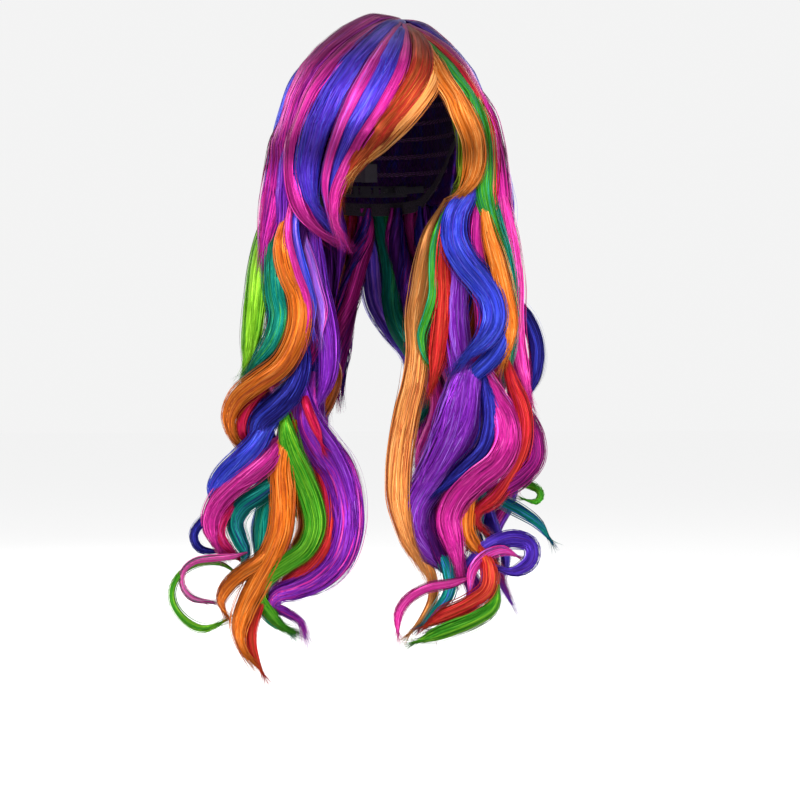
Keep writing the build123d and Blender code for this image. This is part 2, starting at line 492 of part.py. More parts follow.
for name, start, stop in SECTIONS:
    columns = max(4, round((stop - start) / 7))
    angles = spread(start + 0.25, stop - 0.25, columns)
    reach = [min(crown_reach(a, hair_point), crown_reach(a, head_point, HAIR_IN)) for a in angles]
    with BuildPart() as section:
        add(panel([[crown_ray(a, 2.5 + (t - 2.5) * f) for a, t in zip(angles, reach)]
                   for f in spread(0, 1, 9)], HAIR_IN, 0, over=hair_point))
    save(section.part, name)

# ---- fringe and side curtains ---------------------------------------------
for name, group in {**FRINGE, **CURTAINS}.items():
    with BuildPart() as hair:
        for half_thickness, stations in group:
            add(lock_solid(half_thickness, stations))
    save(hair.part, name)
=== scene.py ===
import math

import bpy
import numpy as np
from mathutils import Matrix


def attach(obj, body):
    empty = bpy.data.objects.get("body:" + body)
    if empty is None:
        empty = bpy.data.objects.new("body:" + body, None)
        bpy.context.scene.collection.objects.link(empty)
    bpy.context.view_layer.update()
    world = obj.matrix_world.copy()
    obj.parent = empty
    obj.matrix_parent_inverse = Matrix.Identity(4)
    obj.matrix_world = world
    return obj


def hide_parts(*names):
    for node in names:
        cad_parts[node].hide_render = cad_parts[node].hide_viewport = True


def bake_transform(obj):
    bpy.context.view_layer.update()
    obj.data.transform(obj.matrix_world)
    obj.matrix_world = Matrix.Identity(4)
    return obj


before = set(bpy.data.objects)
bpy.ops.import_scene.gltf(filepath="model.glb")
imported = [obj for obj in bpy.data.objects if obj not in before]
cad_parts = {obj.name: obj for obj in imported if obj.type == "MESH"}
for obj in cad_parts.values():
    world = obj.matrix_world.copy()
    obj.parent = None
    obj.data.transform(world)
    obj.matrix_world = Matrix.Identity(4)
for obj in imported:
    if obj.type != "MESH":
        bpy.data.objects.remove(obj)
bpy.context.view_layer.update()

# ---------------------------------------------------------------- frame maths
# Guides are drawn on a sight plane: units of 1.05 mm at the head's axis, seen from 2.2 m away
# with the head turned 12 degrees. Everything below is millimetres until it is made into a mesh.
UNIT, DIST, YAW = 1.05, 2200.0, 12.0
SX0, SY0 = 382.5, 30.0
AIM_X, AIM_Z = (400 - SX0) * UNIT, (SY0 - 400) * UNIT
CY, SY = math.cos(math.radians(YAW)), math.sin(math.radians(YAW))
VIEW_DIR = np.array([SY, CY, 0.0])          # away from the viewer
TO_VIEW = -VIEW_DIR

HEAD_X, HEAD_Y, HEAD_Z, HEAD_UP, HEAD_DOWN = 78.0, 97.0, -100.0, 100.0, 175.0
HAIR_DEEP = 1.08
PROFILE = np.array([(12, 0), (9.5, 20), (3, 38), (-9, 54), (-30, 77), (-50, 92), (-80, 104), (-105, 109),
                    (-135, 118), (-160, 122), (-186, 125.5), (-260, 127)], float)


def row_of(sx, sy, d):
    k = (DIST + d) / DIST * UNIT
    x, z = AIM_X + (sx - 400) * k, AIM_Z - (sy - 400) * k
    return np.stack([CY * x + SY * d, -SY * x + CY * d, z + 0 * x], -1)


def hair_r(z):
    return np.interp(-np.asarray(z, float), -PROFILE[:, 0], PROFILE[:, 1], left=0.0)


def dome_depth(sx, sy, sink=0.0, rmax=999.0):
    """How far off the hair's outer surface is, along each line of sight."""
    d = np.arange(-165.0, 60.0, 0.5)
    sx, sy = np.atleast_1d(sx).astype(float), np.atleast_1d(sy).astype(float)
    k = (DIST + d)[None, :] / DIST * UNIT
    x = AIM_X + (sx[:, None] - 400) * k
    z = AIM_Z - (sy[:, None] - 400) * k
    X, Y = CY * x + SY * d, -SY * x + CY * d
    f = np.hypot(X, Y / HAIR_DEEP) - (np.minimum(hair_r(z), rmax) - sink)
    hit = f <= 0
    out = np.where(hit.any(1), d[hit.argmax(1)], d[f.argmin(1)])
    return out


def dome_normal(P):
    """Outward direction of the crown hair's surface, radial below it."""
    z = P[:, 2]
    slope = (hair_r(z + 3) - hair_r(z - 3)) / 6.0
    r = np.maximum(np.hypot(P[:, 0], P[:, 1] / HAIR_DEEP), 1e-3)
    n = np.stack([P[:, 0] / r, P[:, 1] / HAIR_DEEP ** 2 / r, -slope], -1)
    top = z > 6
    n[top] = n[top] * 0.3 + np.array([0, 0, 1.0])
    return n / np.linalg.norm(n, axis=1, keepdims=True)


def spline(rows, step):
    """Centripetal Catmull-Rom through rows (first three columns are the place), evenly spaced."""
    rows = np.asarray(rows, float)
    if len(rows) == 2:
        rows = np.stack([rows[0], (rows[0] + rows[1]) / 2, rows[1]])
    ext = np.vstack([2 * rows[0] - rows[1], rows, 2 * rows[-1] - rows[-2]])
    out = []
    for i in range(1, len(ext) - 2):
        p0, p1, p2, p3 = ext[i - 1], ext[i], ext[i + 1], ext[i + 2]
        t0 = 0.0
        t1 = t0 + max(np.linalg.norm(p1[:3] - p0[:3]), 1e-3) ** 0.5
        t2 = t1 + max(np.linalg.norm(p2[:3] - p1[:3]), 1e-3) ** 0.5
        t3 = t2 + max(np.linalg.norm(p3[:3] - p2[:3]), 1e-3) ** 0.5
        t = np.linspace(t1, t2, 24, endpoint=False)[:, None]
        a1 = (t1 - t) / (t1 - t0) * p0 + (t - t0) / (t1 - t0) * p1
        a2 = (t2 - t) / (t2 - t1) * p1 + (t - t1) / (t2 - t1) * p2
        a3 = (t3 - t) / (t3 - t2) * p2 + (t - t2) / (t3 - t2) * p3
        b1 = (t2 - t) / (t2 - t0) * a1 + (t - t0) / (t2 - t0) * a2
        b2 = (t3 - t) / (t3 - t1) * a2 + (t - t1) / (t3 - t1) * a3
        out.append((t2 - t) / (t2 - t1) * b1 + (t - t1) / (t2 - t1) * b2)
    out.append(ext[-2][None, :])
    dense = np.vstack(out)
    run = np.concatenate([[0], np.cumsum(np.linalg.norm(np.diff(dense[:, :3], axis=0), axis=1))])
    n = max(8, int(run[-1] / step))
    s = np.linspace(0, run[-1], n)
    return np.stack([np.interp(s, run, dense[:, c]) for c in range(dense.shape[1])], -1), s


def unit(v):
    return v / np.maximum(np.linalg.norm(v, axis=-1, keepdims=True), 1e-9)


def smooth(v, passes):
    for _ in range(passes):
        v = np.concatenate([v[:1], (v[:-2] + 2 * v[1:-1] + v[2:]) / 4, v[-1:]])
    return v


# ---------------------------------------------------------------- colours
def lin(r, g, b):
    f = lambda v: v / 255 / 12.92 if v / 255 <= 0.04045 else ((v / 255 + 0.055) / 1.055) ** 2.4
    return (f(r), f(g), f(b), 1.0)


# dark strand, main, light strand
HUES = {
    "magenta": [(72, 4, 66), (190, 30, 136), (244, 92, 190)],
    "plum": [(44, 4, 54), (124, 16, 104), (204, 60, 164)],
    "pink": [(128, 14, 92), (222, 48, 154), (255, 132, 212)],
    "blue": [(14, 10, 96), (46, 60, 196), (108, 128, 242)],
    "navy": [(8, 4, 40), (28, 20, 104), (66, 64, 190)],
    "violet": [(30, 8, 100), (78, 44, 188), (134, 104, 238)],
    "purple": [(44, 4, 80), (116, 30, 166), (190, 88, 232)],
    "darkpurple": [(20, 2, 34), (54, 10, 78), (98, 34, 126)],
    "lavender": [(84, 40, 150), (150, 96, 216), (208, 168, 248)],
    "teal": [(0, 50, 58), (6, 118, 106), (52, 184, 158)],
    "green": [(14, 56, 8), (46, 138, 26), (128, 200, 60)],
    "lime": [(44, 86, 8), (118, 182, 32), (188, 232, 84)],
    "olive": [(56, 60, 6), (118, 130, 28), (184, 182, 76)],
    "orange": [(112, 34, 6), (212, 104, 24), (250, 172, 88)],
    "rust": [(76, 16, 16), (156, 58, 28), (220, 118, 60)],
    "red": [(88, 4, 18), (190, 30, 36), (236, 88, 66)],
    "crimson": [(84, 2, 34), (182, 12, 66), (236, 66, 108)],
    "peach": [(168, 78, 34), (234, 150, 76), (255, 206, 140)],
}


def hair_material(hue, second=None):
    """Fine streaks along the hair, wider streaks of a second colour, slow random light and dark, times a per-vertex
    attribute that carries painted highlights and painted shade.
    """
    name = "hair_" + hue + ("_" + second if second else "")
    if name in bpy.data.materials:
        return bpy.data.materials[name]
    m = bpy.data.materials.new(name)
    m.use_nodes = True
    nt = m.node_tree
    bsdf = nt.nodes["Principled BSDF"]
    at = nt.nodes.new("ShaderNodeAttribute")
    at.attribute_type = "GEOMETRY"
    at.attribute_name = "flow"

    def noise(scale, detail, rough=0.6):
        x = nt.nodes.new("ShaderNodeTexNoise")
        x.inputs["Scale"].default_value = scale
        x.inputs["Detail"].default_value = detail
        x.inputs["Roughness"].default_value = rough
        nt.links.new(at.outputs["Vector"], x.inputs["Vector"])
        return x.outputs["Fac"]

    def ramp_of(stops, fac):
        x = nt.nodes.new("ShaderNodeValToRGB")
        e = x.color_ramp.elements
        e[0].position, e[0].color = 0.22, stops[0]
        e[1].position, e[1].color = 0.82, stops[2]
        mid = e.new(0.50)
        mid.color = stops[1]
        nt.links.new(fac, x.inputs["Fac"])
        return x.outputs["Color"]

    def spread_of(fac, a, b, low, high):
        x = nt.nodes.new("ShaderNodeMapRange")
        for key, v in (("From Min", a), ("From Max", b), ("To Min", low), ("To Max", high)):
            x.inputs[key].default_value = v
        nt.links.new(fac, x.inputs["Value"])
        return x.outputs["Result"]

    fine = noise(1.25, 4.0, 0.7)
    main = ramp_of([lin(*c) for c in HUES[hue]], fine)
    if second:
        other = ramp_of([lin(*c) for c in HUES[second]], fine)
        mix = nt.nodes.new("ShaderNodeMix")
        mix.data_type = "RGBA"
        nt.links.new(spread_of(noise(0.30, 2.0), 0.50, 0.64, 0.0, 0.85), mix.inputs["Factor"])
        nt.links.new(main, mix.inputs["A"])
        nt.links.new(other, mix.inputs["B"])
        main = mix.outputs["Result"]
    # a per-vertex attribute of painted highlights and painted shade, with each lock's own tone, scales the colour
    painted_light_and_tone = nt.nodes.new("ShaderNodeAttribute")
    painted_light_and_tone.attribute_type = "GEOMETRY"
    painted_light_and_tone.attribute_name = "painted_light_and_tone"
    both = nt.nodes.new("ShaderNodeMath")
    both.operation = "MULTIPLY"
    nt.links.new(spread_of(noise(0.14, 2.0), 0.32, 0.68, 0.62, 1.2), both.inputs[0])
    nt.links.new(painted_light_and_tone.outputs["Fac"], both.inputs[1])
    mul = nt.nodes.new("ShaderNodeVectorMath")
    mul.operation = "SCALE"
    nt.links.new(main, mul.inputs[0])
    nt.links.new(both.outputs[0], mul.inputs["Scale"])
    nt.links.new(mul.outputs["Vector"], bsdf.inputs["Base Color"])
    nt.links.new(spread_of(fine, 0.3, 0.7, 0.26, 0.40), bsdf.inputs["Roughness"])
    bump = nt.nodes.new("ShaderNodeBump")
    bump.inputs["Strength"].default_value = 0.55
    bump.inputs["Distance"].default_value = 0.0006
    nt.links.new(fine, bump.inputs["Height"])
    nt.links.new(bump.outputs["Normal"], bsdf.inputs["Normal"])
    bsdf.inputs["Specular IOR Level"].default_value = 0.34
    light = HUES[hue][2]
    bsdf.inputs["Specular Tint"].default_value = lin(*(0.7 * c + 0.3 * 255 for c in light))
    bsdf.inputs["Metallic"].default_value = 0.32
    return m


# ---------------------------------------------------------------- meshes
def to_mesh(name, verts_mm, quads, flow, material, smooth_faces=True, tris=None, painted_light_and_tone=None):
    me = bpy.data.meshes.new(name)
    v = np.asarray(verts_mm, np.float32) * 0.001
    q = np.asarray(quads, np.int32).reshape(-1, 4)
    t = np.zeros((0, 3), np.int32) if tris is None else np.asarray(tris, np.int32).reshape(-1, 3)
    me.vertices.add(len(v))
    me.vertices.foreach_set("co", v.ravel())
    loops = np.concatenate([q.ravel(), t.ravel()])
    me.loops.add(len(loops))
    me.loops.foreach_set("vertex_index", loops)
    starts = np.concatenate([np.arange(len(q)) * 4, len(q) * 4 + np.arange(len(t)) * 3])
    me.polygons.add(len(starts))
    me.polygons.foreach_set("loop_start", starts.astype(np.int32))
    me.polygons.foreach_set("use_smooth", np.full(len(starts), smooth_faces))
    me.update(calc_edges=True)
    me.validate()
    if flow is not None:
        a = me.attributes.new("flow", "FLOAT_VECTOR", "POINT")
        a.data.foreach_set("vector", np.asarray(flow, np.float32).ravel())
        # per-vertex brightness: painted highlights and painted shade, with each lock's own tone
        b = me.attributes.new("painted_light_and_tone", "FLOAT", "POINT")
        b.data.foreach_set("value", np.ones(len(v), np.float32) if painted_light_and_tone is None else np.asarray(painted_light_and_tone, np.float32))
    me.materials.append(material)
    o = bpy.data.objects.new(name, me)
    bpy.context.scene.collection.objects.link(o)
    return o


def tube_grid(rings, around):
    """Quads of a tube of rings, closed around but with no caps."""
    i = np.arange(rings - 1)[:, None] * around
    j = np.arange(around)[None, :]
    k = (j + 1) % around
    return np.stack([i + j, i + k, i + around + k, i + around + j], -1).reshape(-1, 4)


def wander(rng, s, span, amount, cols=1):
    """Slow random drift along s, span in mm."""
    n = max(4, int(s[-1] / span) + 3)
    knots = rng.normal(0, amount, (n, cols))
    x = np.linspace(-0.001, s[-1] + 0.001, n)
    c = np.stack([np.interp(s, x, knots[:, i]) for i in range(cols)], -1)
    for _ in range(max(2, int(len(s) / n / 3))):
        c = np.concatenate([c[:1], (c[:-2] + 2 * c[1:-1] + c[2:]) / 4, c[-1:]])
    return c if cols > 1 else c[:, 0]


def frames(P, hint):
    T = unit(np.gradient(P, axis=0))
    T = unit(smooth(T, 2))
    N = hint - (hint * T).sum(1, keepdims=True) * T
    N = unit(smooth(unit(N), 4))
    A = unit(np.cross(T, N))
    return T, A, N


def drifts(rng, s, span, amount, count):
    """Slow random drift along s for each of count strands at once."""
    knots = max(4, int(s[-1] / span) + 3)
    u = s / s[-1] * (knots - 1) * 0.999
    i = u.astype(int)
    f = u - i
    f = f * f * (3 - 2 * f)
    k = rng.normal(0, amount, (count, knots))
    return k[:, i] * (1 - f) + k[:, np.minimum(i + 1, knots - 1)] * f


def lock_parts(P, s, hw, th, hint, rng, strands, around=40, groove=1.0, out_share=0.75, tip=14.0, thin=0.42,
               spill=0.28, pitch=6.0, painted_light_and_tone=None):
    """One lock: a combed body of grooved hair and fine flat strands lying on it. Returns verts, quads, flow."""
    T, A, N = frames(P, hint)
    n = len(P)
    seed = rng.uniform(0, 900, 3)
    phi = np.linspace(0, 2 * np.pi, around, endpoint=False)
    r = np.ones((n, around))
    for m, a in ((2, .04), (5, .035), (8, .045), (13, .045), (19, .04)):
        if m * 2.4 > around:
            continue
        drift = wander(rng, s, 70, 0.8) + rng.uniform(0, 6.28)
        r += groove * a * np.cos(m * phi[None, :] + drift[:, None])
    ease = np.clip(np.minimum(hw, th) / 3.0, 0.15, 1)[:, None]
    r = 1 + (r - 1) * ease
    lx, ly = hw[:, None] * r * np.cos(phi), th[:, None] * r * np.sin(phi)
    V = P[:, None, :] + A[:, None, :] * lx[..., None] + N[:, None, :] * ly[..., None]
    flow = np.stack([lx * 0.9 + seed[0], ly * 0.9 + seed[1], np.repeat((s * 0.018)[:, None], around, 1) + seed[2]], -1)
    painted_light_and_tone = np.ones(n) if painted_light_and_tone is None else painted_light_and_tone
    verts, quads, flows, painted_light_and_tones = [V.reshape(-1, 3)], [tube_grid(n, around)], [flow.reshape(-1, 3)], [np.repeat(painted_light_and_tone, around)]
    if strands:
        # the line of the lock, run on past its tip
        more = np.arange(1, 7) * (tip / 6)
        se = np.concatenate([s, s[-1] + more])
        line = np.column_stack([
            np.vstack([P, P[-1] + T[-1] * more[:, None]]),
            np.vstack([A, np.repeat(A[-1:], 6, 0)]), np.vstack([N, np.repeat(N[-1:], 6, 0)]),
            np.concatenate([hw, np.repeat(hw[-1:], 6)]), np.concatenate([th, np.repeat(th[-1:], 6)]),
            np.concatenate([painted_light_and_tone, np.repeat(painted_light_and_tone[-1:], 6)])])
        m = max(6, int(se[-1] / pitch))
        t = np.linspace(0, 1, m)
        s0 = se[-1] * rng.uniform(0, 0.10, strands) * (rng.random(strands) < 0.7)
        s1 = se[-1] * (1 - rng.uniform(0, 0.14, strands) ** 1.3)
        at = s0[:, None] + (s1 - s0)[:, None] * t[None, :]
        L = np.stack([np.interp(at.ravel(), se, line[:, c]) for c in range(line.shape[1])], -1).reshape(strands, m, -1)
        C, Ae, Ne, he, te = L[..., :3], L[..., 3:6], L[..., 6:9], L[..., 9], L[..., 10]
        outer = rng.random(strands) < out_share
        a0 = np.where(outer, rng.uniform(-0.12, 1.12, strands) * np.pi, rng.uniform(0, 2 * np.pi, strands))
        grid = t * (s1 - s0).mean()
        ang = a0[:, None] + drifts(rng, grid + 1e-6, 80, 0.15, strands)
        lift = 1.015 + abs(rng.normal(0, 0.035, strands))[:, None] + np.clip(drifts(rng, grid + 1e-6, 60, 0.03, strands), -0.01, 1)
        loose = (rng.random(strands) < 0.05)[:, None]
        lift = lift + loose * abs(drifts(rng, grid + 1e-6, 90, 0.12, strands))
        x, y = he * np.cos(ang) * lift, te * np.sin(ang) * lift
        # some strands stray sideways onto the neighbouring locks
        stray = rng.random(strands) < spill
        wide = rng.uniform(0.5, 4.5, strands) * np.sign(np.cos(a0))
        x = x + np.where(stray, wide, 0)[:, None] * np.clip(he / 6, 0.2, 1) * np.clip(np.sin(np.pi * t) * 1.6, 0, 1)[None, :]
        end = np.clip((t - 0.84) / 0.16, 0, 1) ** 1.4 * 4.0
        x = x + rng.normal(0, 1, strands)[:, None] * end[None, :]
        y = y + rng.normal(0, 1, strands)[:, None] * end[None, :] * 0.7
        C = C + Ae * x[..., None] + Ne * y[..., None]
        out = unit(Ae * (np.cos(ang) / np.maximum(he, 0.5))[..., None] + Ne * (np.sin(ang) / np.maximum(te, 0.5))[..., None])
        U = unit(np.cross(unit(np.gradient(C, axis=1)), out))
        rad = thin * rng.uniform(0.55, 1.5, strands)[:, None] * np.clip(np.minimum(t * 12 + 0.3, (1 - t) * 5), 0.10, 1)[None, :]
        R = np.stack([C - U * rad[..., None], C + U * rad[..., None]], 2)
        base = n * around + (np.arange(strands) * m * 2)[:, None] + (np.arange(m - 1) * 2)[None, :]
        verts.append(R.reshape(-1, 3))
        quads.append(np.stack([base, base + 1, base + 3, base + 2], -1).reshape(-1, 4))
        jump = rng.uniform(0, 70, strands)[:, None]
        f = np.stack([x * 0.2 + seed[0] + jump, y * 0.2 + seed[1] + 0 * jump, at * 0.010 + seed[2]], -1)
        flows.append(np.repeat(f[:, :, None, :], 2, 2).reshape(-1, 3))
        painted_light_and_tones.append(np.repeat((L[..., 11] * rng.uniform(0.82, 1.2, strands)[:, None])[:, :, None], 2, 2).ravel())
    return verts, quads, flows, painted_light_and_tones


made = []


def join_parts(name, parts, material):
    verts, quads, flows, painted_light_and_tones, count = [], [], [], [], 0
    for v, q, f, t in parts:
        base = count
        verts += v
        flows += f
        painted_light_and_tones += t
        quads += [x + base for x in q]
        count += sum(len(x) for x in v)
    return to_mesh(name, np.vstack(verts), np.vstack(quads), np.vstack(flows), material, painted_light_and_tone=np.concatenate(painted_light_and_tones))


def taper(s, start, end, root=0.55):
    """Width along a lock: narrower at the root, drawn out to a point at the tip."""
    f = s / s[-1]
    a = np.clip(f / max(start, 1e-3), 0, 1)
    b = np.clip((1 - f) / max(end, 1e-3), 0, 1)
    return (root + (1 - root) * a * a * (3 - 2 * a)) * (0.08 + 0.92 * np.sqrt(b))


